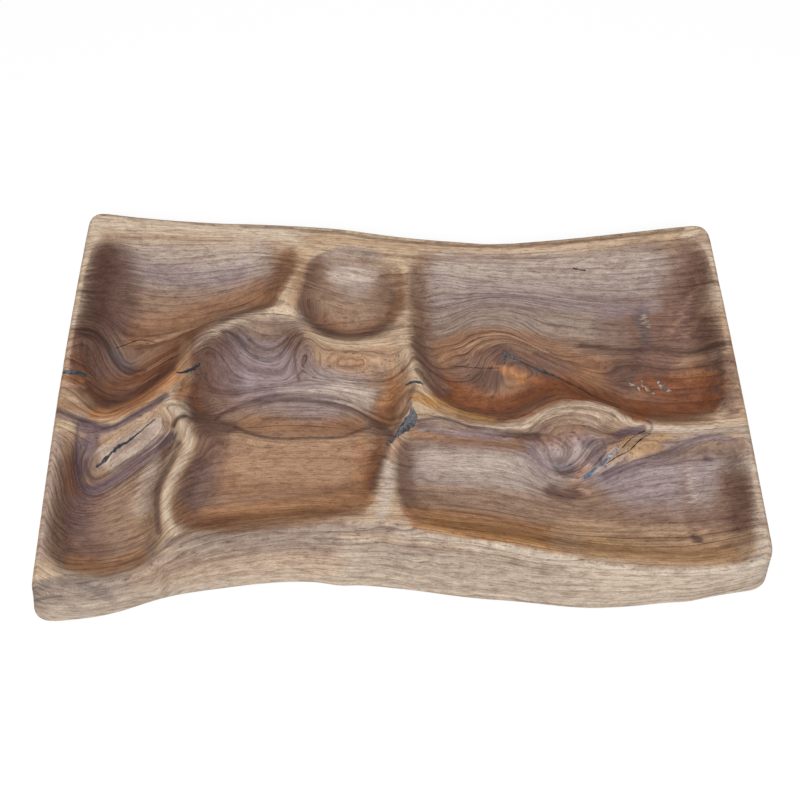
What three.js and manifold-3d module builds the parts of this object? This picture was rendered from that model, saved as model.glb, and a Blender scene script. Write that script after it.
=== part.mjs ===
// A carved walnut board for appetizers: one thick slab with a live edge at the front and at the back,
// seven hollows carved into its top, and dark resin set flush into the cracks of the wood.
// Millimetres, +Z up. The origin is on the flat base, under the middle of the board.

import * as THREE from "three";
import Module from "manifold-3d";

const wasm = await Module();
wasm.setup();

// The slab
const LENGTH = 600;               // between the two sawn ends, along X
const DEPTH = 392;                // between the feet of the two live edges, along Y
const THICKNESS = 42;
const CORNER_RADIUS = 14;         // of the four corners, seen from above
const END_CROWN = 1;              // how far the middle of a sawn end stands out
const FRONT_FLARE = 42;           // how far the foot of the front edge stands out, at the most
const BACK_FLARE = 14;            // the same for the back edge
const SHOULDER_ROUND = 4;         // where the top turns over into the edges
const BASE_ROUND = 3;             // where the edges meet the base

// The hollows
const HOLLOW_DEPTH = 26;          // of the long hollows
const BOWL_DEPTH = 24;            // of the round bowl
const BOWL_DIAMETER = 97;
const BOWL_WALL = 29;             // from the rim of the bowl to its floor
const END_WALL = 30;              // from the rim to the floor, at the two ends of a long hollow
const SIDE_WALL = 42;             // the same at its front and back
const LIP_ROUND = 7;              // how far the rounding of a rim reaches to either side of it

// The cracks, each at its widest place
const RIM_CRACK = 7;              // through the left end, beside the back left hollow
const RIDGE_CRACK = 4.5;          // between the back left and the middle hollow
const LONG_CRACK = 5;             // in the front left hollow
const ARCH_CRACK = 3.5;           // the small arch where three ridges meet
const JUNCTION_CRACK = 13;        // the wedge below it
const STAR_CRACK = 7;             // in the back right hollow
const STREAK_CRACK = 5;           // beside the star
const KNOT_CRACK = 7;             // the widest of three round the knot in the back right hollow
const FORKED_CRACK = 4.5;         // in the front right hollow

// The resin in them
const FILL_DEPTH = 6;             // below the carved surface
const FILL_CLEARANCE = 0.3;       // between the resin and the wood
const OVERRUN = 5;                // how far a cut starts outside the wood

// The facets
const FACET = 8;                  // spacing of the points along an edge or a rim
const FLOOR_FACET = 15;           // the same on the flat floors
const OUTLINE_STEP = 4;           // spacing of the points that a rim is measured by
const FILL_FACET = 4;             // spacing of the points along a crack

// Ways the surfaces curve
const FLARE_POWER = 1.7;          // above 1, a live edge is steep at its foot and leans in above
const WALL_FULLNESS = 2.3;        // 2 is a parabola, and more is a steeper wall and a wider floor
const BLEND_POWER = 4;            // how sharply two hollows that overlap meet
const CORNER_STEPS = 4;
const ROUND_STEPS = 2;
const HALVINGS = 8;

// The shoulder line of the front edge, and of the back edge, from left to right
const frontEdgeShares = [
  [-1, -0.975], [-0.83, -0.918], [-0.67, -0.824], [-0.5, -0.757], [-0.33, -0.689], [-0.17, -0.668],
  [0, -0.684], [0.25, -0.76], [0.5, -0.832], [0.75, -0.872], [1, -0.878],
];
const backEdgeShares = [
  [-1, 0.985], [-0.8, 0.934], [-0.6, 0.9], [-0.4, 0.88], [-0.2, 0.85], [0, 0.796], [0.2, 0.758],
  [0.3, 0.745], [0.5, 0.763], [0.7, 0.796], [0.9, 0.832], [1, 0.847],
];

// How far the foot of each edge stands out along the board, as a share of its flare
const frontFlareShares = [
  [-1, 0.22], [-0.83, 0.31], [-0.5, 0.55], [-0.33, 0.78], [-0.1, 0.98], [0.1, 0.98], [0.33, 0.82],
  [0.6, 0.62], [0.8, 0.4], [1, 0.24],
];
const backFlareShares = [[-1, 0.3], [-0.6, 0.85], [0, 1], [0.6, 0.8], [1, 0.4]];

// The rims of the hollows, as shares of half the length and half the depth
const backLeftShares = [
  [-0.92, 0.855], [-0.963, 0.68], [-0.97, 0.41], [-0.955, 0.04], [-0.88, -0.108], [-0.783, -0.095],
  [-0.69, 0.06], [-0.613, 0.28], [-0.52, 0.365], [-0.41, 0.41], [-0.357, 0.56], [-0.322, 0.7],
  [-0.393, 0.782], [-0.633, 0.817], [-0.8, 0.845],
];
const backRightShares = [
  [0.057, 0.68], [0.033, 0.36], [0.043, 0.1], [0.103, -0.07], [0.197, -0.188], [0.303, -0.198],
  [0.403, -0.117], [0.493, -0.092], [0.58, -0.117], [0.69, -0.198], [0.86, -0.213], [0.94, -0.117],
  [0.963, 0.205], [0.973, 0.545], [0.943, 0.73], [0.803, 0.745], [0.48, 0.7], [0.2, 0.698],
];
const middleUpperShares = [
  [-0.66, -0.01], [-0.64, 0.122], [-0.587, 0.235], [-0.493, 0.316], [-0.373, 0.342], [-0.293, 0.296],
  [-0.227, 0.209], [-0.117, 0.179], [-0.01, 0.17], [0.023, 0.1], [0.007, -0.05], [-0.027, -0.224],
  [-0.133, -0.296], [-0.317, -0.316], [-0.5, -0.296], [-0.6, -0.24], [-0.63, -0.138],
];
const middleLowerShares = [
  [-0.65, -0.52], [-0.63, -0.383], [-0.595, -0.265], [-0.467, -0.143], [-0.317, -0.122],
  [-0.15, -0.143], [-0.04, -0.204], [-0.043, -0.296], [-0.057, -0.378], [-0.08, -0.515],
  [-0.12, -0.592], [-0.2, -0.622], [-0.333, -0.653], [-0.5, -0.684], [-0.607, -0.673],
  [-0.643, -0.602],
];
const frontLeftShares = [
  [-0.958, -0.24], [-0.967, -0.46], [-0.97, -0.622], [-0.963, -0.765], [-0.91, -0.847],
  [-0.843, -0.872], [-0.75, -0.862], [-0.68, -0.806], [-0.665, -0.714], [-0.683, -0.546],
  [-0.67, -0.439], [-0.653, -0.306], [-0.657, -0.168], [-0.693, -0.112], [-0.753, -0.148],
  [-0.827, -0.204], [-0.9, -0.189],
];
const frontRightShares = [
  [-0.023, -0.485], [-0.02, -0.367], [0.013, -0.26], [0.067, -0.224], [0.2, -0.235], [0.333, -0.245],
  [0.413, -0.179], [0.5, -0.143], [0.587, -0.153], [0.667, -0.23], [0.767, -0.276], [0.893, -0.296],
  [0.957, -0.342], [0.963, -0.5], [0.96, -0.714], [0.933, -0.832], [0.86, -0.872], [0.683, -0.857],
  [0.5, -0.81], [0.313, -0.738], [0.15, -0.698], [0.045, -0.662], [0.003, -0.6],
];
const bowlCentreShares = [-0.153, 0.478];

// The cracks: the width of each, and one or more runs along it. A run is a list of places, as shares
// of half the length and half the depth, each with a share of the width.
const cracks = {
  rim_crack_fill: {
    width: RIM_CRACK,
    runShares: [[[-1.01, 0.08, 0.6], [-0.98, 0.082, 1], [-0.955, 0.09, 1], [-0.941, 0.09, 0.4]]],
  },
  ridge_crack_fill: {
    width: RIDGE_CRACK,
    runShares: [
      [[-0.668, 0.071, 0.4], [-0.652, 0.076, 0.7], [-0.635, 0.093, 1], [-0.607, 0.138, 0.6]],
    ],
  },
  front_left_crack_fill: {
    width: LONG_CRACK,
    runShares: [
      [
        [-0.892, -0.344, 0.5], [-0.871, -0.317, 1], [-0.84, -0.278, 1], [-0.81, -0.253, 0.6],
        [-0.78, -0.22, 0.35], [-0.725, -0.152, 0.25],
      ],
    ],
  },
  junction_upper_crack_fill: {
    width: ARCH_CRACK,
    runShares: [[[0.013, -0.01, 0.5], [0.028, 0.001, 1], [0.046, 0, 1], [0.063, -0.01, 0.5]]],
  },
  junction_lower_crack_fill: {
    width: JUNCTION_CRACK,
    runShares: [
      [
        [0.027, -0.137, 0.2], [0.03, -0.162, 0.6], [0.025, -0.19, 1], [0.007, -0.222, 0.75],
        [-0.016, -0.26, 0.35], [-0.034, -0.292, 0.2],
      ],
    ],
  },
  back_right_star_fill: {
    width: STAR_CRACK,
    runShares: [
      [[0.319, 0.223, 0.3], [0.33, 0.207, 0.9], [0.342, 0.19, 1], [0.363, 0.168, 0.5], [0.38, 0.146, 0.25]],
      [[0.33, 0.207, 0.6], [0.323, 0.174, 0.4], [0.318, 0.148, 0.25]],
    ],
  },
  back_right_streak_fill: {
    width: STREAK_CRACK,
    runShares: [
      [[0.404, 0.129, 0.3], [0.42, 0.118, 1], [0.44, 0.11, 0.9], [0.47, 0.086, 0.6], [0.492, 0.064, 0.3]],
    ],
  },
  back_right_knot_fill_left: {
    width: KNOT_CRACK,
    runShares: [[[0.696, 0.046, 0.3], [0.707, 0.025, 0.6], [0.718, 0.013, 0.6], [0.729, 0.002, 0.3]]],
  },
  back_right_knot_fill_middle: {
    width: KNOT_CRACK,
    runShares: [[[0.734, 0.056, 0.2], [0.739, 0.024, 0.4], [0.75, 0.002, 0.4], [0.769, -0.021, 0.2]]],
  },
  back_right_knot_fill_right: {
    width: KNOT_CRACK,
    runShares: [[[0.785, 0.044, 0.4], [0.795, 0.022, 1], [0.805, 0, 0.9], [0.819, -0.007, 0.4]]],
  },
  front_right_crack_fill_lower: {
    width: FORKED_CRACK,
    runShares: [[[0.525, -0.433, 0.5], [0.538, -0.42, 1], [0.551, -0.401, 1], [0.563, -0.383, 0.5]]],
  },
  front_right_crack_fill_upper: {
    width: FORKED_CRACK,
    runShares: [
      [[0.576, -0.374, 0.6], [0.592, -0.352, 0.8], [0.607, -0.331, 0.7], [0.635, -0.291, 0.3]],
    ],
  },
};

// How far down the side of the slab its facets lie, as shares of the height under the shoulder
const sideLevelShares = [0.25, 0.5, 0.75];

// Where the facets of a lip and of a wall lie, as shares of the lip and of the wall
const lipLevelShares = [0, 1];
const wallLevelShares = [0.42, 0.68, 0.95];

// How close two of these points may lie, as shares of their spacing: to the outline of the top,
// along a rim, and across a lip
const boundaryGapShare = 0.4;
const alongGapShare = 0.6;
const acrossGapShare = 0.3;

// How far down a level of the wall is looked for, as a share of where a straight wall has it
const farthestLevelShare = 1.6;

// For joining the points: how far off its place each is taken to be, as a share of their spacing,
// and how far away the corners that hold them all are, as a share of the board
const hairShare = 0.00001;
const farShare = 4;

// A smooth curve through places along the length, each with a value, as a function of x.
function curveThrough(shares, size) {
  const places = shares.map(([x]) => (x * LENGTH) / 2);
  const values = shares.map(([, value]) => value * size);
  const curve = new THREE.CubicInterpolant(places, values, 1, new Float64Array(1));
  return (x) => curve.evaluate(x)[0];
}

// A place on the board from its shares of half the length and half the depth.
function onBoard([x, y]) {
  return new THREE.Vector3((x * LENGTH) / 2, (y * DEPTH) / 2, 0);
}

function closedRim(shares) {
  return new THREE.CatmullRomCurve3(shares.map(onBoard), true, "centripetal");
}

function roundRim(centreShares, radius) {
  const centre = onBoard(centreShares);
  return new THREE.EllipseCurve(centre.x, centre.y, radius, radius);
}

// A hollow is its rim curve, its depth and how far its walls run in. Its rim is also kept as a
// ring of points counted in wall lengths, so that one number says how far down a wall a place is.
function hollow(curve, depth, endWall, sideWall) {
  const steps = Math.ceil(curve.getLength() / OUTLINE_STEP);
  const ring = curve.getSpacedPoints(steps).slice(0, -1);
  const scaled = ring.map((point) => new THREE.Vector2(point.x / endWall, point.y / sideWall));
  return { curve, depth, endWall, sideWall, scaled, lip: LIP_ROUND / sideWall };
}

const hollows = [
  hollow(closedRim(backLeftShares), HOLLOW_DEPTH, END_WALL, SIDE_WALL),
  hollow(closedRim(backRightShares), HOLLOW_DEPTH, END_WALL, SIDE_WALL),
  hollow(closedRim(middleUpperShares), HOLLOW_DEPTH, END_WALL, SIDE_WALL),
  hollow(closedRim(middleLowerShares), HOLLOW_DEPTH, END_WALL, SIDE_WALL),
  hollow(closedRim(frontLeftShares), HOLLOW_DEPTH, END_WALL, SIDE_WALL),
  hollow(closedRim(frontRightShares), HOLLOW_DEPTH, END_WALL, SIDE_WALL),
  hollow(roundRim(bowlCentreShares, BOWL_DIAMETER / 2), BOWL_DEPTH, BOWL_WALL, BOWL_WALL),
];

// Whether a place lies within a closed ring of points.
function isWithin(ring, x, y) {
  let within = false;
  ring.forEach((end, index) => {
    const start = ring.at(index - 1);
    const crosses = start.y > y !== end.y > y;
    if (crosses && x < start.x + ((y - start.y) * (end.x - start.x)) / (end.y - start.y)) {
      within = !within;
    }
  });
  return within;
}

// The distance from a place to a ring, as a mean that the nearest stretches rule: the cube of the
// distance is in the divisor, and each side of the ring is taken as a whole. Beside a straight
// wall it is the plain distance, and in a corner it is less, which rounds the corner.
function meanDistance(ring, x, y) {
  let sum = 0;
  for (const [index, end] of ring.entries()) {
    const start = ring.at(index - 1);
    const length = Math.hypot(end.x - start.x, end.y - start.y);
    const alongX = (end.x - start.x) / length;
    const alongY = (end.y - start.y) / length;
    const from = (start.x - x) * alongX + (start.y - y) * alongY;
    const to = from + length;
    const aside = (start.x - x) * alongY - (start.y - y) * alongX;
    const near = Math.hypot(from, aside);
    const far = Math.hypot(to, aside);
    if (from * to > 0) {
      sum += (to * to - from * from) / (near * far * (to * near + from * far));
    } else if (aside === 0) {
      return 0;
    } else {
      sum += (to / far - from / near) / (aside * aside);
    }
  }
  return Math.sqrt(2 / sum);
}

// How far a place lies inside a hollow's rim, counted in wall lengths, and negative outside it.
function insetInHollow({ scaled, endWall, sideWall }, { x, y }) {
  const distance = meanDistance(scaled, x / endWall, y / sideWall);
  return isWithin(scaled, x / endWall, y / sideWall) ? distance : -distance;
}

// The wall starts level at the outer side of its lip, falls steeply and ends level on the floor.
function cutDepth(carved, place) {
  const { depth, lip } = carved;
  const inset = insetInHollow(carved, place);
  if (inset <= -lip) {
    return 0;
  }
  const down = inset < lip ? (inset + lip) ** 2 / (4 * lip) : inset;
  return depth * (1 - Math.max(0, 1 - down) ** WALL_FULLNESS);
}

function surfaceHeight(place) {
  const cuts = hollows.map((carved) => cutDepth(carved, place) ** BLEND_POWER);
  return THICKNESS - cuts.reduce((sum, cut) => sum + cut, 0) ** (1 / BLEND_POWER);
}

// One long edge from left to right: its shoulder points, each with how far its foot stands out.
function longEdge(edgeShares, flareShares, flare, outward) {
  const shoulder = curveThrough(edgeShares, DEPTH / 2);
  const standOut = curveThrough(flareShares, flare);
  const straight = LENGTH / 2 - CORNER_RADIUS;
  const steps = Math.round((2 * straight) / FACET);
  const stations = [];
  for (let step = 0; step <= CORNER_STEPS; step += 1) {
    stations.push({ x: -straight, turn: (Math.PI / 2) * (1 - step / CORNER_STEPS) });
  }
  for (let step = 1; step < steps; step += 1) {
    stations.push({ x: straight * ((2 * step) / steps - 1), turn: 0 });
  }
  for (let step = 0; step <= CORNER_STEPS; step += 1) {
    stations.push({ x: straight, turn: (Math.PI / 2) * (step / CORNER_STEPS) });
  }
  return stations.map((station) => {
    const x = station.x + Math.sign(station.x) * CORNER_RADIUS * Math.sin(station.turn);
    const y = shoulder(x) - outward * CORNER_RADIUS * (1 - Math.cos(station.turn));
    return { x, y, flare: outward * standOut(x) * Math.cos(station.turn) };
  });
}

// The points of one sawn end between two corners, with the middle standing out by its crown.
function sawnEnd(from, to) {
  const steps = Math.round(Math.abs(to.y - from.y) / FACET);
  const points = [];
  for (let step = 1; step < steps; step += 1) {
    const y = THREE.MathUtils.lerp(from.y, to.y, step / steps);
    points.push({ x: from.x, y, flare: 0 });
  }
  return points;
}

// All round the slab, seen from above against the clock, starting at the front left corner.
function slabOutline() {
  const front = longEdge(frontEdgeShares, frontFlareShares, FRONT_FLARE, -1);
  const back = longEdge(backEdgeShares, backFlareShares, BACK_FLARE, 1).reverse();
  const right = sawnEnd(front.at(-1), back[0]);
  const left = sawnEnd(back.at(-1), front[0]);
  const outline = [...front, ...right, ...back, ...left];
  const feet = outline.map((point) => point.y + point.flare);
  const low = Math.min(...feet);
  const stretch = DEPTH / (Math.max(...feet) - low);
  return outline.map((point, index) => {
    const before = outline.at(index - 1);
    const after = outline[(index + 1) % outline.length];
    const outward = new THREE.Vector2(after.y - before.y, before.x - after.x).normalize();
    const crown = END_CROWN * ((2 * point.y) / DEPTH) ** 2;
    const y = (point.y - low) * stretch - DEPTH / 2;
    return { x: point.x - Math.sign(point.x) * crown * outward.x ** 2, y, flare: point.flare, outward };
  });
}

// A point of the slab's side at a height, set in from the side by a distance.
function sidePoint({ x, y, flare, outward }, height, inset) {
  const standOut = flare * (1 - (Math.max(height, 0) / THICKNESS) ** FLARE_POWER);
  return new THREE.Vector3(x - outward.x * inset, y + standOut - outward.y * inset, height);
}

// The rings of points down the side, from the top of the shoulder to the rim of the base.
function sideRings(outline) {
  const tops = outline.map((point) => surfaceHeight(sidePoint(point, THICKNESS, SHOULDER_ROUND)));
  const levels = [];
  for (let step = 0; step <= ROUND_STEPS; step += 1) {
    const turn = (Math.PI / 2) * (step / ROUND_STEPS);
    const drop = SHOULDER_ROUND * (1 - Math.cos(turn));
    levels.push({ height: (top) => top - drop, inset: SHOULDER_ROUND * (1 - Math.sin(turn)) });
  }
  for (const share of sideLevelShares) {
    const height = (top) => THREE.MathUtils.lerp(top - SHOULDER_ROUND, BASE_ROUND, share);
    levels.push({ height, inset: 0 });
  }
  for (let step = 0; step <= ROUND_STEPS; step += 1) {
    const turn = (Math.PI / 2) * (step / ROUND_STEPS);
    const height = BASE_ROUND * (1 - Math.sin(turn));
    levels.push({ height: () => height, inset: BASE_ROUND * (1 - Math.cos(turn)) });
  }
  return levels.map(({ height, inset }) =>
    outline.map((point, index) => sidePoint(point, height(tops[index]), inset)));
}

// Where a place lies that is a share of the wall inward of a rim point, or outward if negative.
function downWall({ endWall, sideWall }, { at, inward }, level) {
  return { x: at.x + inward.x * level * endWall, y: at.y + inward.y * level * sideWall };
}

// Evenly spaced points along a rim, each with its way in, counted in wall lengths.
function rimPoints(carved) {
  const { curve, endWall, sideWall } = carved;
  const steps = Math.round(curve.getLength() / FACET);
  return Array.from({ length: steps }, (unused, step) => {
    const at = curve.getPointAt(step / steps);
    const tangent = curve.getTangentAt(step / steps);
    const inward = new THREE.Vector2(-tangent.y / sideWall, tangent.x / endWall).normalize();
    const place = downWall(carved, { at, inward }, carved.lip);
    return { at, inward: insetInHollow(carved, place) > 0 ? inward : inward.negate() };
  });
}

// How far the nearest other hollow reaches round a place, in its own wall lengths.
function insetInOthers(carved, place) {
  const others = hollows.filter((other) => other !== carved);
  return Math.max(...others.map((other) => insetInHollow(other, place)));
}

// The share of the way from near to far at which a test first holds, found by halving.
function firstShare(near, far, holds) {
  let low = near;
  let high = far;
  for (let step = 0; step < HALVINGS; step += 1) {
    const middle = (low + high) / 2;
    [low, high] = holds(middle) ? [low, middle] : [middle, high];
  }
  return high;
}

// How far out of a rim its lip ends: at its full reach, or on the crest towards the next hollow.
function lipReach(carved, rimPoint) {
  const beyondCrest = (reach) =>
    insetInOthers(carved, downWall(carved, rimPoint, -reach)) > -reach;
  return beyondCrest(carved.lip) ? firstShare(0, carved.lip, beyondCrest) : carved.lip;
}

// The place below a rim point where the wall has come down to a level, if it gets there.
function wallPlace(carved, rimPoint, level) {
  const isBelow = (share) => insetInHollow(carved, downWall(carved, rimPoint, share)) > level;
  const farthest = level * farthestLevelShare;
  return isBelow(farthest) ? downWall(carved, rimPoint, firstShare(level, farthest, isBelow)) : null;
}

// The points of the carved top: round the slab, along each rim and wall, and on the floors. Each
// is left out where an earlier one lies within its gap.
function topPoints(boundary) {
  const points = [...boundary];
  const clearance = FACET * boundaryGapShare;
  const isInside = ({ x, y }) => isWithin(boundary, x, y) && meanDistance(boundary, x, y) > clearance;
  const add = (place, gap) => {
    const isClear = (point) => Math.hypot(point.x - place.x, point.y - place.y) >= gap;
    if (isInside(place) && points.every(isClear)) {
      points.push(new THREE.Vector3(place.x, place.y, surfaceHeight(place)));
    }
  };
  const rims = hollows.map((carved) => ({ carved, rim: rimPoints(carved) }));
  const eachRimPoint = (use) =>
    rims.forEach(({ carved, rim }) => rim.forEach((rimPoint) => use(carved, rimPoint)));
  eachRimPoint((carved, rimPoint) => {
    if (insetInOthers(carved, rimPoint.at) < 0) {
      add(downWall(carved, rimPoint, -lipReach(carved, rimPoint)), FACET * alongGapShare);
    }
  });
  for (const share of lipLevelShares) {
    eachRimPoint((carved, rimPoint) => {
      const place = downWall(carved, rimPoint, carved.lip * share);
      if (insetInOthers(carved, place) < carved.lip * share) {
        add(place, FACET * acrossGapShare);
      }
    });
  }
  for (const level of wallLevelShares) {
    eachRimPoint((carved, rimPoint) => {
      const place = wallPlace(carved, rimPoint, level);
      if (place !== null && insetInOthers(carved, place) < level) {
        add(place, FACET * alongGapShare);
      }
    });
  }
  const rowStep = FLOOR_FACET * Math.sin(Math.PI / 3);
  let shift = 0;
  for (let y = -DEPTH / 2; y < DEPTH / 2; y += rowStep) {
    shift = FLOOR_FACET / 2 - shift;
    for (let x = shift - LENGTH / 2; x < LENGTH / 2; x += FLOOR_FACET) {
      add({ x, y }, FLOOR_FACET * alongGapShare);
    }
  }
  return points;
}

// The circle through three plan points.
function circleThrough(points, corners) {
  const [a, b, c] = corners.map((corner) => points[corner]);
  const bx = b.x - a.x;
  const by = b.y - a.y;
  const cx = c.x - a.x;
  const cy = c.y - a.y;
  const twist = 2 * (bx * cy - by * cx);
  const x = (cy * (bx * bx + by * by) - by * (cx * cx + cy * cy)) / twist;
  const y = (bx * (cx * cx + cy * cy) - cx * (bx * bx + by * by)) / twist;
  return { corners, x: a.x + x, y: a.y + y, radius: Math.hypot(x, y) };
}

// Edges that appear once in a list of triangles.
function loneEdges(triangles) {
  const edges = new Map();
  for (const [a, b, c] of triangles) {
    for (const edge of [[a, b], [b, c], [c, a]]) {
      const name = `${Math.min(...edge)} ${Math.max(...edge)}`;
      edges.set(name, edges.has(name) ? null : edge);
    }
  }
  return [...edges.values()].filter((edge) => edge !== null);
}

// Joins plan points with triangles, none of which has another point inside its circle. Here each
// point is off its place by a hair, so that no four of them share a circle.
function triangulate(plan) {
  const hair = FACET * hairShare;
  const shifted = plan.map(({ x, y }, index) => {
    const turn = index * index;
    return { x: x + hair * Math.cos(turn), y: y + hair * Math.sin(turn) };
  });
  const far = (LENGTH + DEPTH) * farShare;
  const points = [...shifted, { x: -far, y: -far }, { x: far, y: -far }, { x: 0, y: far }];
  const order = plan.map((point, index) => index).sort((a, b) => points[a].x - points[b].x);
  const done = [];
  let open = [circleThrough(points, [plan.length, plan.length + 1, plan.length + 2])];
  for (const index of order) {
    const { x, y } = points[index];
    const broken = [];
    const kept = [];
    for (const circle of open) {
      if (x - circle.x > circle.radius) {
        done.push(circle);
      } else if (Math.hypot(x - circle.x, y - circle.y) < circle.radius) {
        broken.push(circle.corners);
      } else {
        kept.push(circle);
      }
    }
    open = kept;
    for (const [a, b] of loneEdges(broken)) {
      open.push(circleThrough(points, [a, b, index]));
    }
  }
  const circles = [...done, ...open];
  const triangles = circles.map((circle) => circle.corners);
  return triangles.filter((corners) => corners.every((corner) => corner < plan.length));
}

function planArea(points, [a, b, c]) {
  const side = new THREE.Vector2(points[b].x - points[a].x, points[b].y - points[a].y);
  return side.cross(new THREE.Vector2(points[c].x - points[a].x, points[c].y - points[a].y)) / 2;
}

// The triangles of the top, facing up. Those that bridge a bay of the outline are left out: all
// three of their corners lie on the outline, and run round it the wrong way.
function topTriangles(points, boundaryCount) {
  const triangles = [];
  for (const corners of triangulate(points)) {
    const ordered = [...corners].sort((a, b) => a - b);
    const onOutline = ordered.every((corner) => corner < boundaryCount);
    const area = planArea(points, ordered);
    if (!onOutline || area > 0) {
      triangles.push(area > 0 ? ordered : [ordered[0], ordered[2], ordered[1]]);
    }
  }
  return triangles;
}

function solidFrom(points, triangles) {
  const vertProperties = new Float32Array(points.flatMap((point) => [point.x, point.y, point.z]));
  const triVerts = new Uint32Array(triangles.flat());
  return new wasm.Manifold(new wasm.Mesh({ numProp: 3, vertProperties, triVerts }));
}

// The slab with its hollows, before the cracks are cut for the resin.
function carvedSlab() {
  const rings = sideRings(slabOutline());
  const count = rings[0].length;
  const top = topPoints(rings[0]);
  const points = [...top, ...rings.slice(1).flat()];
  const place = (ring, index) => (ring === 0 ? 0 : top.length + (ring - 1) * count) + (index % count);
  const triangles = topTriangles(top, count);
  for (let ring = 0; ring < rings.length - 1; ring += 1) {
    for (let index = 0; index < count; index += 1) {
      const upper = [place(ring, index), place(ring, index + 1)];
      const lower = [place(ring + 1, index), place(ring + 1, index + 1)];
      triangles.push([lower[0], lower[1], upper[1]], [lower[0], upper[1], upper[0]]);
    }
  }
  const base = THREE.ShapeUtils.triangulateShape(rings.at(-1), []);
  const lowest = rings.length - 1;
  triangles.push(...base.map(([a, b, c]) => [place(lowest, a), place(lowest, c), place(lowest, b)]));
  return solidFrom(points, triangles);
}

// The outline of one run of a crack, grown all round by a clearance: the point it starts with, its
// right side, the point it ends with and its left side, which has as many places as the right.
function runOutline(shares, width, clearance) {
  const places = shares.map(([x, y, share]) => onBoard([x, y]).setZ((width * share) / 2));
  const curve = new THREE.CatmullRomCurve3(places, false, "centripetal");
  const steps = Math.ceil(curve.getLength() / FILL_FACET);
  const right = [];
  const left = [];
  const tips = [];
  for (let step = 0; step <= steps; step += 1) {
    const at = curve.getPointAt(step / steps);
    const reach = at.z + clearance;
    const along = curve.getTangentAt(step / steps).setZ(0).setLength(reach);
    right.push({ x: at.x + along.y, y: at.y - along.x });
    left.unshift({ x: at.x - along.y, y: at.y + along.x });
    if (step === 0) {
      tips.push({ x: at.x - along.x, y: at.y - along.y });
    } else if (step === steps) {
      tips.push({ x: at.x + along.x, y: at.y + along.y });
    }
  }
  return [tips[0], ...right, tips[1], ...left];
}

// The triangles that fill such an outline, each from its right side to its left, facing up.
function acrossRun(count) {
  const half = count / 2;
  const triangles = [[0, 1, count - 1], [half - 1, half, half + 1]];
  for (let right = 1; right < half - 1; right += 1) {
    const left = count - right;
    triangles.push([right, right + 1, left - 1], [right, left - 1, left]);
  }
  return triangles;
}

// The space of one run: straight sides, a floor that lies a depth below the carved surface, and
// an open top above it.
function runSpace(shares, width, clearance) {
  const outline = runOutline(shares, width, clearance);
  const count = outline.length;
  const depth = FILL_DEPTH + clearance;
  const floor = outline.map(({ x, y }) => new THREE.Vector3(x, y, surfaceHeight({ x, y }) - depth));
  const top = outline.map(({ x, y }) => new THREE.Vector3(x, y, THICKNESS + OVERRUN));
  const caps = acrossRun(count);
  const triangles = caps.flatMap(([a, b, c]) => [[a, c, b], [a + count, b + count, c + count]]);
  for (let index = 0; index < count; index += 1) {
    const next = (index + 1) % count;
    triangles.push([index, next, next + count], [index, next + count, index + count]);
  }
  return solidFrom([...floor, ...top], triangles);
}

function crackSpace({ width, runShares }, clearance) {
  const spaces = runShares.map((shares) => runSpace(shares, width, clearance));
  return spaces.reduce((joined, space) => joined.add(space));
}

function meshFrom(solid, name, material) {
  const { vertProperties, triVerts } = solid.getMesh();
  const geometry = new THREE.BufferGeometry();
  geometry.setAttribute("position", new THREE.BufferAttribute(vertProperties, 3));
  geometry.setIndex(new THREE.BufferAttribute(triVerts, 1));
  geometry.computeVertexNormals();
  const mesh = new THREE.Mesh(geometry, material);
  mesh.name = name;
  return mesh;
}

function walnut() {
  return new THREE.MeshStandardMaterial({ color: 0x8d6b52, roughness: 0.5, metalness: 0 });
}

function darkResin() {
  return new THREE.MeshStandardMaterial({ color: 0x2b3444, roughness: 0.15, metalness: 0 });
}

const slab = carvedSlab();
const board = new THREE.Group();
let carvedBoard = slab;
for (const [name, crack] of Object.entries(cracks)) {
  board.add(meshFrom(slab.intersect(crackSpace(crack, 0)), name, darkResin()));
  carvedBoard = carvedBoard.subtract(crackSpace(crack, FILL_CLEARANCE));
}
board.add(meshFrom(carvedBoard, "carved_board", walnut()));

export default board;
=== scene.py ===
import math

import bpy
import numpy as np
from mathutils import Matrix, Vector, noise
from mathutils.bvhtree import BVHTree
from mathutils.geometry import delaunay_2d_cdt
from mathutils.kdtree import KDTree


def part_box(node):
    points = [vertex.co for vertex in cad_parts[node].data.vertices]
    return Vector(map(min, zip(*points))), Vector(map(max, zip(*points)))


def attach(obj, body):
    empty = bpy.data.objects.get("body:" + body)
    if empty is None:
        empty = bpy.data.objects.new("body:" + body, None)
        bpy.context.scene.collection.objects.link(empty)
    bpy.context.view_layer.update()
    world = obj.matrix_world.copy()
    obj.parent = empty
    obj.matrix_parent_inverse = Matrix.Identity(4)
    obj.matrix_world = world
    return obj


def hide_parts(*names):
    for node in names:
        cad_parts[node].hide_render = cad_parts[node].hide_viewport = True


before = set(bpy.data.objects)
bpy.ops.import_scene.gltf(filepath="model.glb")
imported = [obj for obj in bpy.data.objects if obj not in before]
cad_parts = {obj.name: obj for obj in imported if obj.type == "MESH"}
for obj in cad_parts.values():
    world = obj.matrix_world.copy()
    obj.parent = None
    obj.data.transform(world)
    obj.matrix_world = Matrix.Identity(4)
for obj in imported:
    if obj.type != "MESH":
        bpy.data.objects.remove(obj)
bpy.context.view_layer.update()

# The looks of a carved walnut board with dark resin in its cracks, in metres. The board is made
# again as a fine mesh over the CAD solid. Its grain follows traced growth lines, given as
# places in the photograph and brought onto the carved surface by the camera.

# The camera, as fitted to the photograph
CAMERA_PLACE = (-0.0086, -0.3737, 0.7717)
CAMERA_PITCH = 26
CAMERA_TURN = -1.12
LENS = 0.041657
SENSOR = 0.036
PHOTO_PIXELS = 800
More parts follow.
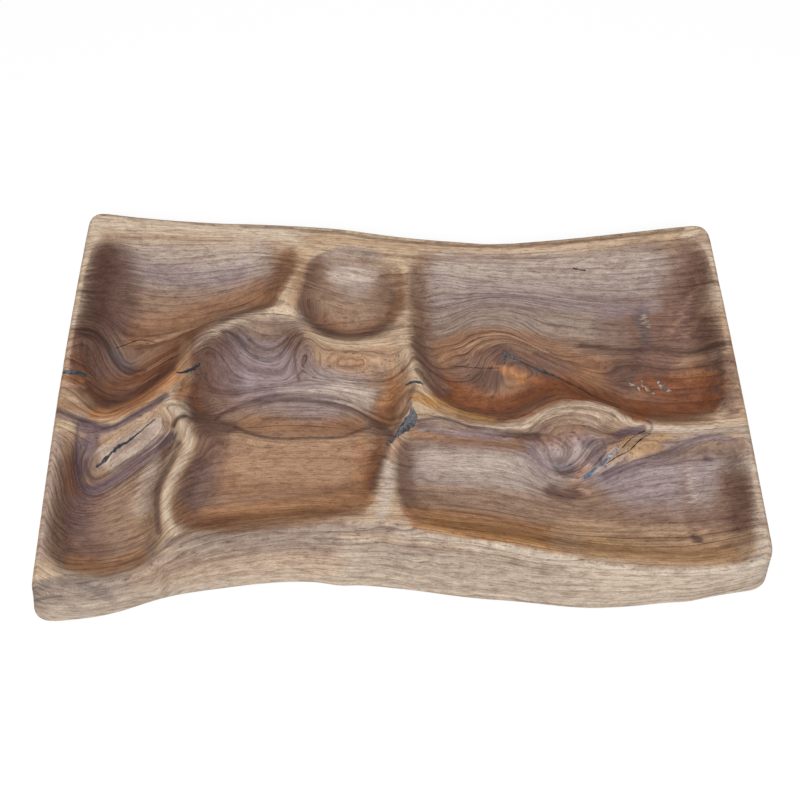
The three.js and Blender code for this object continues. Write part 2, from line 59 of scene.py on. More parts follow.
MIDDLE_PIXEL = PHOTO_PIXELS / 2
FOCAL_PIXELS = LENS / SENSOR * PHOTO_PIXELS
MILLIMETRES = 1000

# The slab, as in the CAD model
CORNER_RADIUS = 0.014
SHOULDER_ROUND = 0.004
BASE_ROUND = 0.003

# The fine mesh
GRID = 0.001
SIDE_ROWS = 26
SHOULDER_STEPS = 6
BASE_STEPS = 4
BASE_SPACING = 0.012
SOFTENING = 0.003
SOFTENING_REACH = 3
CLOSE_RAYS = ((0, 0), (0.0005, 0.0003), (-0.0004, 0.0005))
OUTSIDE = 1.0
HAIR = 0.00005
MERGE_DISTANCE = 1e-9
MIDDLE_LEVEL = 0.022
CREST_REACH = 0.03
CREST_STEPS = 40

# How much farther than the CAD slab the left end, the right end, the front foot and its corners
# stand out, and bumps along the foot: the place along x, the reach and how far they stand out
END_BOWS = (0.0032, 0.0012)
FRONT_FOOT = 0.0036
CORNER_FOOT = 0.018
FOOT_BUMPS = ((-0.056, 0.014, 0.0026), (0.15, 0.04, 0.0015), (0.236, 0.016, 0.0018))

# The powers by which the bow grows towards the ends, the foot towards the front and the corners
# towards both, and the one by which the foot ends beside the corners
BOW_POWER = 3
FOOT_POWER = 2
CORNER_FRONT_POWER = 4
CORNER_END_POWER = 10
FOOT_END_POWER = 8

# The hand carved surface: how it waves, and the grooves along the live edges
WAVE_LENGTH = 0.013
WAVE_HEIGHT = 0.0003
GROOVE_LENGTHS = (0.03, 0.0035)
GROOVE_DEPTH = 0.0005

# Marks of the gouge: how deep, how far they reach to each side in pixels, and their places
GOUGE_MARKS = (
    (0.0010, 6, ((660, 338), (672, 310), (688, 274))),
    (0.0012, 6, ((672, 342), (686, 312), (700, 276))),
    (0.0012, 6, ((684, 346), (698, 316), (710, 288))),
    (0.0010, 6, ((697, 348), (708, 324), (715, 306))),
    (0.0009, 6, ((652, 318), (664, 290), (680, 262))),
    (0.0014, 8, ((682, 470), (684, 500), (690, 525), (697, 541))),
    (0.0009, 7, ((668, 470), (670, 495), (676, 520))),
    (0.0009, 7, ((704, 466), (708, 490), (712, 515))),
    (0.0008, 6, ((641, 308), (644, 330), (645, 360))),
    (0.0006, 8, ((330, 262), (352, 266), (374, 262))),
    (0.0006, 8, ((322, 290), (350, 298), (380, 292))),
    (0.0009, 8, ((570, 480), (585, 492), (600, 497))),
    (0.0008, 8, ((556, 452), (566, 462), (580, 458))),
    (0.0006, 8, ((350, 398), (362, 392), (372, 384))),
)

# The lights, each with its place, its size and its power, and the floor
LIGHTS = {
    "window": ((0, -2.1, 3.4), (1.4, 1.8), 154),
    "skylight": ((0, 1.4, 3.6), (1.4, 1.8), 40),
}
WHITE = (1, 1, 1, 1)
WHITE_STRENGTH = 1
SURROUND_STRENGTH = 0.12
FLOOR_REACH = 6
FLOOR_CORNERS = ((-1, -1), (1, -1), (1, 1), (-1, 1))
FLOOR_COLOUR = (0.94, 0.94, 0.94, 1)
FLOOR_GLOW_SHARE = 0.8

# The growth field
GROWTH_PIXELS = 12
GROWTH_SLACK = 0.00002
GROWTH_CELL = 0.0025
GROWTH_MARGIN = 3
STROKE_PIXELS = 4
SIDE_SLOPE_SHARE = 0.5
TOP_DEPTH = 0.0005
SUNK_DEPTH = 0.012
LIP_DEPTHS = (0.0004, 0.0014)
END_GRAIN_SHARE = 0.2
STROKE_FULLNESS = 1.35
LINE_FULLNESS = 2
STREAK_LENGTHS = (0.05, 0.0018)
STREAK_REACHES = (8, 3)

# The wood's grain: lengths along the board, across the growth and up, in metres
SWAY_LENGTHS = (0.05, 0.012, 0.03)
SWAY_REACH = 0.003
CROWD_LENGTHS = (3, 0.03, 3)

# The rings: how far apart, how much that varies, how sharp, and how faint and strong they can be
YEAR_RINGS = (0.0042, 4.0, 6.0, (0.25, 1.0))
FINE_RINGS = (0.0016, 6.0, 4.0, (0.1, 1.0))
RING_LENGTH = 0.12
RING_STEP = 1.7
RING_RANGE = (0.3, 0.7)

# The other marks of the grain: their lengths, the detail and roughness of their noise, and the
# values between which they come up
MARKS = {
    "band": ((0.16, 0.006, 0.05), 4.0, 0.6, 0.42, 0.72),
    "mottle": ((0.012, 0.0035, 0.008), 3.0, 0.6, 0.4, 0.7),
    "fibre": ((0.03, 0.0009, 0.003), 3.0, 0.6, 0.4, 0.8),
    "pore": ((0.006, 0.0005, 0.0012), 1.0, 0.5, 0.6, 0.72),
    "speck": ((0.0016, 0.0011, 0.0016), 1.0, 0.5, 0.5, 0.72),
}
PLAIN_DETAIL = 2.0
PLAIN_ROUGHNESS = 0.5
NOISE_MIDDLE = 0.5

# What each of them turns the painted colour of the wood into, one after another
SHADES = {
    "ring": (0.34, 0.25, 0.22, 1),
    "fine": (0.42, 0.34, 0.33, 1),
    "band": (0.62, 0.55, 0.53, 1),
    "mottle": (0.7, 0.66, 0.65, 1),
    "fibre": (0.7, 0.65, 0.63, 1),
    "pore": (0.6, 0.53, 0.5, 1),
    "speck": (1.22, 1.22, 1.22, 1),
    "darkness": (0.12, 0.1, 0.11, 1),
}

# The wood's surface: how deep the grain is, how rough it is on the top of the fibres and between
# them, how much smoother it is down in the hollows, and its gloss
RELIEF = 0.00012
ROUGH_RANGE = (0.3, 0.7)
ROUGHNESSES = (0.66, 0.78)
SMOOTHED_BY = 0.22
GLOSS = 0.22

# The cracks and their fills
CRACK_SPACING = 0.0008
RAGGEDNESS = 0.0003
RAGGED_SHARE = 0.35
LEAST_SHARE = 0.3
RAGGED_CELLS = 1.3
FILL_DEPTH = 0.006
HAIRLINE_DEPTH = 0.0015
INSIDE_DISTANCE = 0.0009
INSIDE_DARKNESS = 0.9
RIM_DARKNESS = 0.45
ABOVE_TOP = 0.005
SHARP_ANGLE = 38
SEED = 11

# The resins: the dark colour, the pale colour and how much of it is pale. The pale colour is
# painted glints, but in the steel blue resin a lighter tone.
RESINS = {
    "dark_blue": ((0.012, 0.014, 0.024, 1), (0.1, 0.11, 0.14, 1), 0.22),
    "steel_blue": ((0.05, 0.085, 0.14, 1), (0.1, 0.16, 0.24, 1), 0.5),
    "slate_grey": ((0.025, 0.025, 0.031, 1), (0.075, 0.072, 0.082, 1), 0.4),
    "painted_glint": ((0.11, 0.065, 0.05, 1), (0.36, 0.28, 0.23, 1), 0.5),
}
USUAL_RESIN = "dark_blue"
OTHER_RESINS = {
    "rim_crack_fill": "slate_grey",
    "junction_upper_crack_fill": "slate_grey",
    "junction_lower_crack_fill": "slate_grey",
    "back_right_knot_fill_left": "painted_glint",
    "back_right_knot_fill_middle": "painted_glint",
    "back_right_knot_fill_right": "painted_glint",
    "front_right_crack_fill_lower": "steel_blue",
    "front_right_crack_fill_upper": "steel_blue",
}
LUMP_LENGTH = 0.0035
LUMP_HEIGHT = 0.0004
LUMP_ROUGHNESS = 0.6
# The noise values between which the pale flecks, painted glints in all but the steel blue resin,
# come up, and how far the pale share lowers them
FLECK_AND_GLINT_RANGE = (0.6, 0.75)
FLECK_AND_GLINT_SHIFT = 0.25
RESIN_ROUGHNESS = 0.22
RESIN_GLOSS = 0.28

# Growth lines of the wood, traced. Each has its level, which counts millimetres from the
# middle of the board to the back where the grain runs straight, and places in the photograph.
GROWTH_LINES = (
    (170, ((100, 218), (150, 222), (200, 226), (260, 230), (330, 235))),
    (153, ((95, 232), (150, 233), (200, 236), (260, 238), (320, 240), (370, 245), (430, 250),
           (480, 252), (540, 250), (600, 244), (660, 238), (705, 232))),
    (132, ((90, 252), (113, 248), (147, 255), (193, 253), (231, 250), (262, 250), (300, 254),
           (340, 258), (400, 264), (442, 268), (500, 273), (554, 276), (619, 277), (680, 272),
           (712, 265))),
    (112, ((88, 275), (120, 272), (170, 280), (230, 275), (270, 268), (300, 270), (350, 285),
           (400, 290), (442, 284), (466, 288), (489, 289), (510, 291), (540, 293), (600, 300),
           (660, 300), (716, 295))),
    (92, ((84, 300), (110, 305), (150, 312), (190, 311), (220, 305), (250, 294), (275, 283),
          (300, 284), (350, 300), (400, 306), (420, 310), (440, 312), (480, 301), (510, 300),
          (540, 304), (600, 313), (660, 316), (722, 312))),
    (75, ((76, 316), (92, 317), (106, 322), (116, 333), (125, 345), (140, 349), (165, 343),
          (190, 333), (215, 321), (240, 319), (262, 323), (280, 323), (295, 322), (310, 326),
          (345, 331), (390, 325), (412, 322), (425, 326), (440, 326), (460, 318), (473, 312),
          (490, 310), (509, 311), (530, 317), (550, 325), (600, 330), (660, 331), (727, 330))),
    (65, ((72, 325), (88, 325), (102, 330), (112, 345), (120, 362), (130, 370), (142, 366),
          (165, 354), (185, 342), (200, 331), (220, 325), (240, 328), (250, 336), (262, 341),
          (278, 340), (288, 334), (300, 328), (320, 333), (350, 337), (385, 333), (412, 329),
          (425, 335), (442, 334), (460, 327), (473, 321), (490, 319), (509, 321), (523, 327),
          (535, 335), (549, 341), (568, 344), (619, 345), (670, 343), (730, 336))),
    (55, ((68, 330), (86, 331), (97, 334), (106, 345), (113, 360), (122, 371), (134, 376),
          (146, 370), (165, 358), (185, 346), (198, 335), (215, 329), (228, 335), (240, 347),
          (250, 355), (262, 360), (275, 361), (284, 355), (290, 345), (297, 337), (305, 331),
          (325, 338), (345, 342), (380, 340), (412, 335), (425, 341), (438, 343), (456, 340),
          (467, 331), (479, 328), (498, 327), (512, 330), (526, 338), (540, 345), (557, 350),
          (582, 350), (620, 350), (660, 349), (687, 352), (713, 346), (735, 341))),
    (45, ((64, 350), (80, 350), (92, 357), (99, 368), (110, 381), (125, 386), (140, 381),
          (155, 371), (175, 361), (190, 348), (203, 338), (215, 334), (228, 342), (240, 354),
          (252, 363), (266, 368), (280, 367), (290, 355), (296, 343), (306, 334), (320, 341),
          (345, 346), (380, 345), (408, 341), (420, 350), (432, 356), (447, 350), (460, 347),
          (472, 340), (482, 336), (502, 335), (519, 340), (534, 348), (552, 357), (575, 362),
          (600, 359), (640, 358), (680, 362), (713, 356), (736, 350))),
    (38, ((414, 348), (428, 362), (440, 368), (455, 365), (470, 362), (478, 350), (490, 343),
          (507, 341), (519, 343), (529, 347), (540, 352), (561, 362), (582, 372), (610, 380),
          (640, 376), (680, 376), (715, 372), (740, 368))),
    (34, ((325, 360), (332, 354), (351, 352), (370, 355), (377, 362), (370, 369), (351, 372),
          (333, 369), (325, 360))),
    (40, ((340, 362), (351, 361), (362, 362))),
    (33, ((61, 376), (75, 380), (90, 389), (105, 400), (122, 404), (138, 398), (152, 388),
          (168, 377), (180, 366), (190, 355), (200, 347), (212, 343), (225, 354), (238, 368),
          (250, 375), (270, 378), (285, 378), (291, 366), (297, 352), (308, 342), (318, 349),
          (318, 362), (325, 373), (351, 378), (380, 377), (395, 370), (405, 362))),
    (30, ((416, 355), (432, 370), (448, 378), (470, 377), (480, 368), (484, 358), (492, 352),
          (503, 346), (516, 347), (530, 353), (545, 360), (565, 370), (590, 381), (615, 390),
          (640, 398), (665, 401), (690, 401), (715, 398), (745, 395))),
    (20, ((56, 402), (70, 409), (85, 416), (100, 420), (118, 417), (132, 408), (150, 401),
          (165, 392), (180, 380), (192, 368), (200, 362), (207, 371), (214, 382), (228, 388),
          (250, 388), (280, 385), (310, 382), (340, 384), (370, 388), (390, 390))),
    (20, ((418, 372), (432, 388), (445, 398), (467, 402), (490, 401), (510, 397), (528, 389),
          (548, 386), (570, 391), (596, 400), (620, 408), (650, 416), (700, 418), (747, 414))),
    (12, ((412, 385), (425, 392), (440, 403), (455, 411), (475, 417), (500, 420), (520, 418),
          (540, 408), (560, 400), (590, 401), (610, 406), (640, 418), (655, 424), (690, 424),
          (748, 420))),
    (8, ((196, 404), (215, 400), (236, 400), (254, 396), (275, 393), (300, 393), (330, 396),
         (350, 400), (365, 406), (380, 412), (396, 416))),
    (5, ((414, 400), (440, 414), (470, 423), (500, 426), (525, 425), (540, 416), (560, 409),
         (590, 410), (610, 418), (625, 428), (650, 431), (690, 430), (750, 426))),
    (0, ((196, 414), (214, 415), (237, 408), (260, 402), (282, 400), (305, 401), (331, 403),
         (351, 408), (366, 416), (385, 424), (397, 424))),
    (-3, ((417, 420), (442, 419), (466, 427), (489, 429), (512, 432), (530, 432), (545, 422),
          (565, 417), (590, 419), (606, 430), (625, 433))),
    (-8, ((198, 420), (232, 424), (250, 417), (270, 413), (300, 412), (330, 413), (350, 418),
          (370, 427), (385, 431))),
    (-10, ((408, 434), (440, 433), (475, 436), (505, 440), (528, 444), (543, 459), (556, 466),
           (572, 459), (582, 445), (590, 436), (606, 436), (625, 436), (650, 434), (690, 434),
           (750, 429))),
    (-15, ((201, 424), (235, 427), (270, 421), (300, 420), (330, 421), (355, 427), (378, 432))),
    (-18, ((407, 443), (440, 442), (480, 443), (515, 447), (535, 455), (546, 468), (562, 475),
           (580, 472), (592, 463), (606, 450), (625, 441), (645, 436), (690, 437))),
    (-22, ((204, 428), (240, 430), (258, 433), (300, 432), (330, 433), (350, 433), (372, 433))),
    (-28, ((207, 434), (240, 434), (256, 438), (279, 441), (300, 440), (339, 440), (354, 438),
           (374, 436), (392, 440))),
    (-25, ((405, 452), (440, 452), (480, 451), (510, 455), (530, 465), (545, 478), (565, 484),
           (585, 482), (602, 474), (617, 466), (639, 457), (668, 449), (691, 440), (712, 435),
           (750, 432))),
    (-32, ((606, 481), (618, 474), (642, 465), (668, 461), (691, 455), (727, 449), (752, 445))),
    (-35, ((212, 452), (232, 452), (260, 450), (300, 449), (350, 449), (376, 448))),
    (-45, ((216, 470), (260, 466), (300, 465), (350, 466), (378, 463), (400, 470), (440, 470),
           (480, 472), (520, 480), (550, 492), (580, 497), (620, 490), (660, 482), (700, 478),
           (754, 470))),
    (-62, ((172, 512), (190, 500), (230, 492), (300, 487), (370, 487), (398, 488), (440, 490),
           (490, 494), (540, 505), (580, 511), (620, 508), (680, 502), (758, 495))),
    (-80, ((170, 530), (195, 518), (240, 511), (300, 507), (370, 507), (400, 507), (440, 510),
           (490, 516), (540, 525), (580, 531), (640, 532), (700, 530), (762, 520))),
    (-98, ((32, 575), (45, 584), (70, 588), (100, 583), (140, 573), (165, 558), (200, 545),
           (240, 535), (300, 527), (370, 523), (405, 526), (440, 531), (500, 539), (550, 548),
           (600, 555), (660, 559), (720, 556), (768, 546))),
    (0, ((172, 405), (150, 412), (125, 424), (103, 436), (90, 450), (85, 465), (88, 480), (97, 487),
         (110, 482), (130, 468), (150, 453), (165, 440), (174, 425), (172, 405))),
    (7, ((160, 412), (140, 424), (115, 437), (100, 450), (92, 465), (96, 477), (106, 474),
         (125, 460), (145, 446), (160, 430), (160, 412))),
    (-8, ((48, 430), (62, 434), (73, 445), (76, 465), (80, 487), (92, 497), (110, 492), (137, 474),
          (160, 458), (176, 445), (184, 430), (186, 415))),
    (-25, ((44, 455), (56, 460), (63, 480), (68, 505), (85, 513), (110, 508), (140, 492),
           (165, 475), (180, 460), (197, 450))),
    (-45, ((40, 485), (52, 495), (62, 520), (90, 530), (130, 520), (160, 505), (172, 490),
           (190, 477))),
    (-62, ((37, 515), (50, 530), (65, 548), (100, 550), (135, 542), (158, 528))),
    (-80, ((34, 545), (48, 558), (65, 568), (100, 568), (135, 560), (158, 545))),
    (-112, ((30, 600), (60, 600), (100, 595), (150, 580), (200, 562), (250, 550), (300, 541),
            (350, 537), (400, 540), (450, 549), (500, 558), (550, 566), (600, 571), (660, 574),
            (720, 572), (772, 562))),
    (-128, ((34, 612), (80, 612), (130, 600), (180, 583), (230, 570), (290, 560), (350, 556),
            (400, 560), (450, 568), (500, 576), (560, 584), (620, 590), (680, 590), (740, 584))),
)

# The colours of the wood, as it reflects them: its own colours, and those used for painted shade,
# painted highlights and painted reflections of gloss
TONES = {
    "tan": (0.59, 0.44, 0.3),
    "sapwood": (0.54, 0.46, 0.375),
    "straw": (0.68, 0.56, 0.43),
    "driftwood": (0.34, 0.265, 0.215),
    "grey": (0.37, 0.3, 0.265),
    "lilac": (0.32, 0.25, 0.26),
    "slate": (0.12, 0.1, 0.105),
    "brown": (0.31, 0.2, 0.135),
    "chestnut": (0.31, 0.155, 0.08),
    "amber": (0.48, 0.25, 0.12),
    "rust": (0.26, 0.085, 0.028),
    "russet": (0.21, 0.09, 0.042),
    "umber": (0.13, 0.068, 0.05),
    "cocoa": (0.22, 0.125, 0.09),
    "orange": (0.52, 0.24, 0.1),
    "salmon": (0.54, 0.32, 0.22),
    "honey": (0.5, 0.33, 0.2),
    "gold": (0.58, 0.33, 0.12),
    "plum": (0.135, 0.085, 0.1),
    "cream": (0.58, 0.48, 0.4),
}

# Where the wood changes colour, and where shade, highlights and the grey haze of gloss are
# painted into it: the tone, how far it reaches to each side in pixels of the photograph, how strong
# it is, and the places it runs through. The strokes of the hollows end at their rims, and those
# of the crossings don't run out along the grain.
STROKES = {
    "rims": (
        ("straw", 11, 0.9, ((98, 222), (160, 226), (220, 230), (300, 235))),
        ("honey", 6, 0.5, ((300, 237), (400, 245), (500, 250), (600, 243), (700, 232))),
        ("straw", 11, 0.7, ((96, 232), (90, 260), (84, 300), (76, 326))),
        ("salmon", 8, 0.6, ((76, 334), (72, 350), (68, 364))),
        ("lilac", 14, 0.4, ((56, 440), (48, 490), (40, 550))),
        ("salmon", 14, 0.4, ((728, 300), (735, 350), (744, 410))),
        ("cream", 13, 0.7, ((750, 435), (757, 495), (764, 545))),
        ("chestnut", 6, 0.4, ((62, 390), (84, 395))),
        ("chestnut", 9, 0.7, ((59, 405), (78, 408), (92, 412))),
        ("straw", 12, 0.7, ((688, 234), (702, 240), (711, 268), (718, 300))),
        ("brown", 10, 0.7, ((732, 345), (738, 370), (744, 400))),
        ("cocoa", 13, 0.8, ((724, 362), (728, 384), (731, 410))),
        ("sapwood", 44, 0.8, ((60, 606), (100, 600), (200, 575), (300, 565), (400, 568),
                              (500, 580), (600, 592), (700, 595), (765, 580))),
        ("driftwood", 18, 0.9, ((36, 594), (90, 590), (150, 572), (210, 554), (280, 546),
                                (330, 545))),
        ("driftwood", 10, 0.5, ((330, 545), (400, 550), (480, 560), (560, 570))),
        ("driftwood", 10, 0.9, ((170, 543), (220, 537), (280, 531), (340, 528), (400, 530))),
        ("sapwood", 10, 0.8, ((400, 531), (500, 547), (600, 563), (700, 569), (762, 560))),
        ("honey", 22, 0.35, ((140, 578), (230, 565), (330, 562))),
        ("slate", 8, 0.4, ((38, 588), (60, 580), (85, 584), (110, 598))),
    ),
    "hollows": (
        # The back left hollow
        # painted reflection: grey and lilac haze of gloss on the floor, and a painted highlight on
        # the back wall
        ("grey", 40, 0.9, ((140, 262), (190, 270), (245, 264))),
        ("cream", 20, 0.6, ((140, 250), (200, 254), (255, 250))),
        ("lilac", 16, 0.5, ((150, 272), (200, 278), (240, 272))),
        ("tan", 11, 0.5, ((110, 238), (180, 240), (250, 243))),
        ("brown", 18, 0.5, ((150, 304), (205, 298))),
        ("chestnut", 28, 0.75, ((140, 336), (185, 324), (235, 308), (258, 296))),
        # painted shade down the left wall
        ("umber", 36, 0.95, ((114, 264), (112, 288), (108, 318))),
        ("umber", 24, 0.8, ((104, 258), (98, 292), (93, 325))),
        ("umber", 26, 0.5, ((122, 290), (124, 312))),
        ("cocoa", 40, 0.95, ((84, 345), (90, 368), (106, 386))),
        ("umber", 26, 0.6, ((96, 352), (104, 374), (118, 386))),
        ("rust", 14, 0.4, ((78, 362), (84, 385))),
        ("umber", 8, 0.7, ((84, 331), (98, 336), (108, 346), (116, 360), (126, 370), (138, 374))),
        ("slate", 9, 0.6, ((114, 352), (124, 362), (134, 370))),
        # painted shade: the front wall, dark and warm where it is turned from the light
        ("russet", 22, 0.95, ((104, 396), (135, 387), (160, 370), (195, 344))),
        ("umber", 12, 0.35, ((110, 398), (138, 388), (162, 372), (192, 347))),
        ("rust", 20, 0.35, ((140, 384), (165, 366), (198, 344))),
        ("honey", 2.5, 0.35, ((146, 372), (165, 360), (182, 350), (204, 335))),
        ("honey", 2.5, 0.3, ((130, 388), (150, 380), (172, 364), (196, 344))),
        ("honey", 2.5, 0.5, ((152, 342), (185, 330), (215, 318), (250, 306))),
        ("umber", 6, 0.5, ((104, 402), (122, 400), (140, 391), (156, 381), (172, 368))),
        ("umber", 5, 0.4, ((202, 343), (240, 320), (272, 305))),
        # painted shade on the right end wall
        ("chestnut", 15, 0.85, ((258, 302), (278, 285), (289, 258))),
        ("umber", 8, 0.4, ((268, 286), (285, 260))),
        # The round bowl
        ("brown", 46, 0.95, ((352, 285), (352, 300))),
        # painted reflection: the bright patch of gloss in the bowl, and grey haze on its back wall
        ("grey", 24, 0.7, ((345, 276), (358, 284))),
        ("cream", 14, 0.75, ((335, 274), (372, 275))),
        ("grey", 14, 0.7, ((318, 256), (345, 248), (375, 252))),
        # painted shade on the bowl's left, right and front walls
        ("cocoa", 14, 0.9, ((316, 258), (303, 285), (310, 312), (328, 328))),
        ("chestnut", 10, 0.7, ((400, 275), (402, 300), (390, 318))),
        ("chestnut", 12, 0.5, ((325, 322), (352, 330), (380, 324))),
        ("umber", 4, 0.4, ((303, 300), (315, 322), (340, 334), (370, 334), (395, 318))),
        # The back right hollow
        # painted reflection: grey haze of gloss on the floor, and a painted highlight on the back
        # wall
        ("grey", 54, 0.95, ((450, 285), (540, 285), (640, 276))),
        ("cream", 24, 0.45, ((450, 262), (540, 266), (640, 258))),
        ("tan", 8, 0.8, ((420, 244), (500, 249), (600, 245), (690, 233))),
        # painted reflection: lilac haze of gloss on the floor
        ("lilac", 14, 0.6, ((440, 308), (500, 300), (560, 305), (640, 310))),
        ("driftwood", 22, 0.8, ((430, 325), (470, 315), (540, 320), (620, 332))),
        # painted shade on the left wall
        ("chestnut", 13, 0.4, ((422, 262), (418, 300), (422, 335))),
        # painted shade down the right wall and its edge, with painted highlights along its gouge
        # marks
        ("cocoa", 30, 0.85, ((650, 340), (680, 336), (705, 335))),
        ("cocoa", 26, 0.75, ((610, 324), (640, 328), (662, 334))),
        ("slate", 22, 0.15, ((606, 326), (655, 332))),
        ("cocoa", 34, 0.95, ((692, 264), (684, 292), (672, 325))),
        ("umber", 18, 0.4, ((684, 290), (690, 320), (708, 335))),
        ("salmon", 4, 0.3, ((672, 332), (698, 284))),
        ("salmon", 4, 0.3, ((686, 338), (708, 300))),
        ("cocoa", 20, 0.7, ((636, 312), (640, 335), (645, 362))),
        ("umber", 10, 0.4, ((641, 312), (644, 332), (646, 352))),
        ("lilac", 10, 0.5, ((600, 314), (624, 310), (656, 306))),
        ("slate", 9, 0.55, ((641, 312), (644, 330), (646, 350))),
        ("cream", 3, 0.45, ((645, 316), (648, 326))),
        ("chestnut", 30, 0.95, ((455, 370), (490, 364), (520, 368), (560, 378), (600, 390))),
        ("chestnut", 15, 0.8, ((440, 350), (470, 341), (500, 337), (530, 345), (575, 362))),
        ("cocoa", 22, 0.8, ((462, 372), (490, 358), (510, 352), (540, 362), (590, 388))),
        ("umber", 17, 0.9, ((480, 382), (498, 376), (503, 362))),
        ("honey", 2.5, 0.6, ((456, 352), (468, 345), (484, 336), (500, 334), (520, 339),
                             (545, 352))),
        ("honey", 2.5, 0.5, ((470, 362), (478, 350), (492, 344), (508, 344), (530, 352))),
        ("honey", 2.5, 0.4, ((484, 392), (500, 394), (520, 390), (534, 382))),
        ("umber", 7, 0.6, ((500, 350), (515, 360), (535, 371), (560, 382), (600, 400))),
        ("orange", 8, 0.8, ((509, 371), (522, 379))),
        ("orange", 6, 0.6, ((526, 382), (538, 381))),
        ("orange", 4, 0.5, ((495, 366), (504, 369))),
        # painted shade on the lower left wall
        ("cocoa", 10, 0.7, ((418, 345), (432, 365), (450, 385))),
        ("umber", 5, 0.6, ((413, 338), (425, 360), (440, 380))),
        # painted shade: the front wall, dark and warm where it is turned from the light
        ("rust", 22, 0.9, ((448, 392), (480, 404), (510, 405), (545, 392))),
        ("rust", 18, 0.8, ((560, 385), (600, 398), (640, 408))),
        ("umber", 6, 0.5, ((452, 407), (480, 415), (515, 414), (548, 397))),
        ("umber", 6, 0.8, ((580, 346), (624, 350), (657, 349), (687, 353), (713, 347),
                           (736, 341))),
        ("chestnut", 24, 0.95, ((590, 372), (640, 378), (690, 372), (712, 385))),
        ("umber", 28, 0.9, ((622, 374), (645, 366), (668, 382))),
        ("cocoa", 14, 0.6, ((650, 358), (690, 360), (715, 362))),
        ("umber", 14, 0.5, ((628, 386), (650, 388), (668, 394))),
        ("rust", 20, 0.9, ((676, 392), (712, 388))),
        ("umber", 18, 0.75, ((660, 394), (690, 396), (712, 392))),
        ("rust", 18, 0.65, ((650, 386), (675, 388), (702, 386))),
        ("orange", 8, 0.3, ((674, 374), (690, 378))),
        ("orange", 7, 0.25, ((694, 368), (704, 376))),
        ("honey", 5, 0.4, ((678, 362), (700, 357))),
        # painted shade at the edge of the right wall
        ("umber", 7, 0.6, ((718, 350), (720, 380), (716, 405))),
        # painted shade on the front wall, turned from the light
        ("rust", 13, 0.85, ((640, 411), (680, 409), (712, 404))),
        # The middle hollow, at the back
        # painted reflection: lilac and grey haze of gloss on the floor
        ("lilac", 50, 0.9, ((250, 372), (320, 384))),
        ("grey", 30, 0.6, ((320, 385), (350, 392))),
        ("driftwood", 14, 0.7, ((225, 325), (262, 320), (300, 320))),
        ("umber", 18, 0.6, ((232, 334), (262, 346), (287, 338))),
        ("slate", 12, 0.5, ((226, 334), (244, 342))),
        ("lilac", 3, 0.6, ((228, 334), (240, 350), (256, 359), (274, 360), (290, 352))),
        ("lilac", 3, 0.5, ((244, 333), (256, 342), (270, 345), (284, 338))),
        ("cocoa", 14, 0.4, ((296, 335), (300, 352), (300, 372))),
        # painted shade down the left wall
        ("cocoa", 30, 0.85, ((214, 350), (216, 385), (212, 412))),
        ("umber", 22, 0.7, ((206, 354), (200, 380), (200, 408))),
        ("plum", 20, 0.4, ((226, 350), (230, 385))),
        ("rust", 10, 0.4, ((194, 388), (200, 412))),
        ("honey", 20, 0.8, ((325, 353), (352, 361), (385, 356))),
        ("orange", 9, 0.3, ((335, 358), (365, 362))),
        ("cream", 16, 0.65, ((340, 390), (354, 398), (366, 400))),
        ("cream", 7, 0.5, ((280, 391), (330, 392))),
        ("orange", 18, 0.75, ((397, 382), (394, 398), (386, 414))),
        ("chestnut", 13, 0.8, ((384, 414), (398, 422))),
        ("umber", 5, 0.6, ((205, 425), (222, 416), (240, 407), (262, 401), (300, 400), (335, 405),
                           (362, 414), (388, 428))),
        ("chestnut", 13, 0.8, ((245, 423), (300, 428), (358, 426))),
        ("umber", 11, 0.85, ((196, 416), (212, 424), (232, 428))),
        ("umber", 7, 0.85, ((375, 425), (388, 432), (392, 438))),
        ("honey", 5, 0.8, ((232, 436), (260, 443), (300, 445), (345, 442), (372, 436))),
        # The middle hollow, at the front
        ("chestnut", 50, 0.8, ((240, 472), (340, 472))),
        ("honey", 32, 0.4, ((250, 462), (345, 464))),
        # painted shade down the left wall
        ("cocoa", 32, 0.9, ((204, 448), (198, 478), (196, 500))),
        ("slate", 20, 0.3, ((200, 468), (194, 495))),
        # painted shade down the right wall
        ("rust", 10, 0.6, ((380, 440), (373, 470), (366, 495))),
        ("umber", 7, 0.6, ((388, 446), (380, 470), (372, 490))),
        ("orange", 14, 0.3, ((362, 445), (360, 475))),
        # painted shade: the warm colour of the front wall, turned from the light
        ("amber", 15, 0.8, ((212, 517), (270, 512), (330, 506), (366, 498))),
        ("chestnut", 12, 0.7, ((178, 510), (198, 518), (232, 522))),
        ("chestnut", 8, 0.6, ((178, 520), (230, 528), (300, 521), (362, 513))),
        # The front left hollow
        ("brown", 40, 0.9, ((122, 505), (128, 530))),
        ("honey", 20, 0.4, ((142, 500), (142, 530))),
        # painted shade down the left wall
        ("umber", 22, 0.7, ((70, 470), (66, 500), (60, 540), (66, 554))),
        ("cocoa", 30, 0.9, ((86, 500), (84, 535), (92, 550))),
        ("plum", 18, 0.4, ((80, 505), (78, 530))),
        # painted shade: the warm colour of the front wall, turned from the light
        ("amber", 12, 0.6, ((74, 563), (105, 567), (140, 557))),
        ("chestnut", 12, 0.5, ((70, 563), (105, 569), (140, 559))),
        # painted shade on the left wall
        ("rust", 10, 0.3, ((68, 436), (70, 470), (72, 490))),
        ("plum", 12, 0.8, ((80, 445), (82, 470))),
        ("cream", 14, 0.5, ((154, 462), (148, 484), (142, 508))),
        ("cream", 13, 0.7, ((106, 450), (130, 436), (152, 422))),
        ("cream", 10, 0.6, ((112, 464), (138, 450), (162, 434))),
        ("plum", 8, 0.9, ((77, 454), (80, 481), (90, 491), (106, 485), (133, 466), (160, 446),
                          (172, 436))),
        # The front right hollow
        # painted reflection: grey haze of gloss on the floor, lighter towards the back
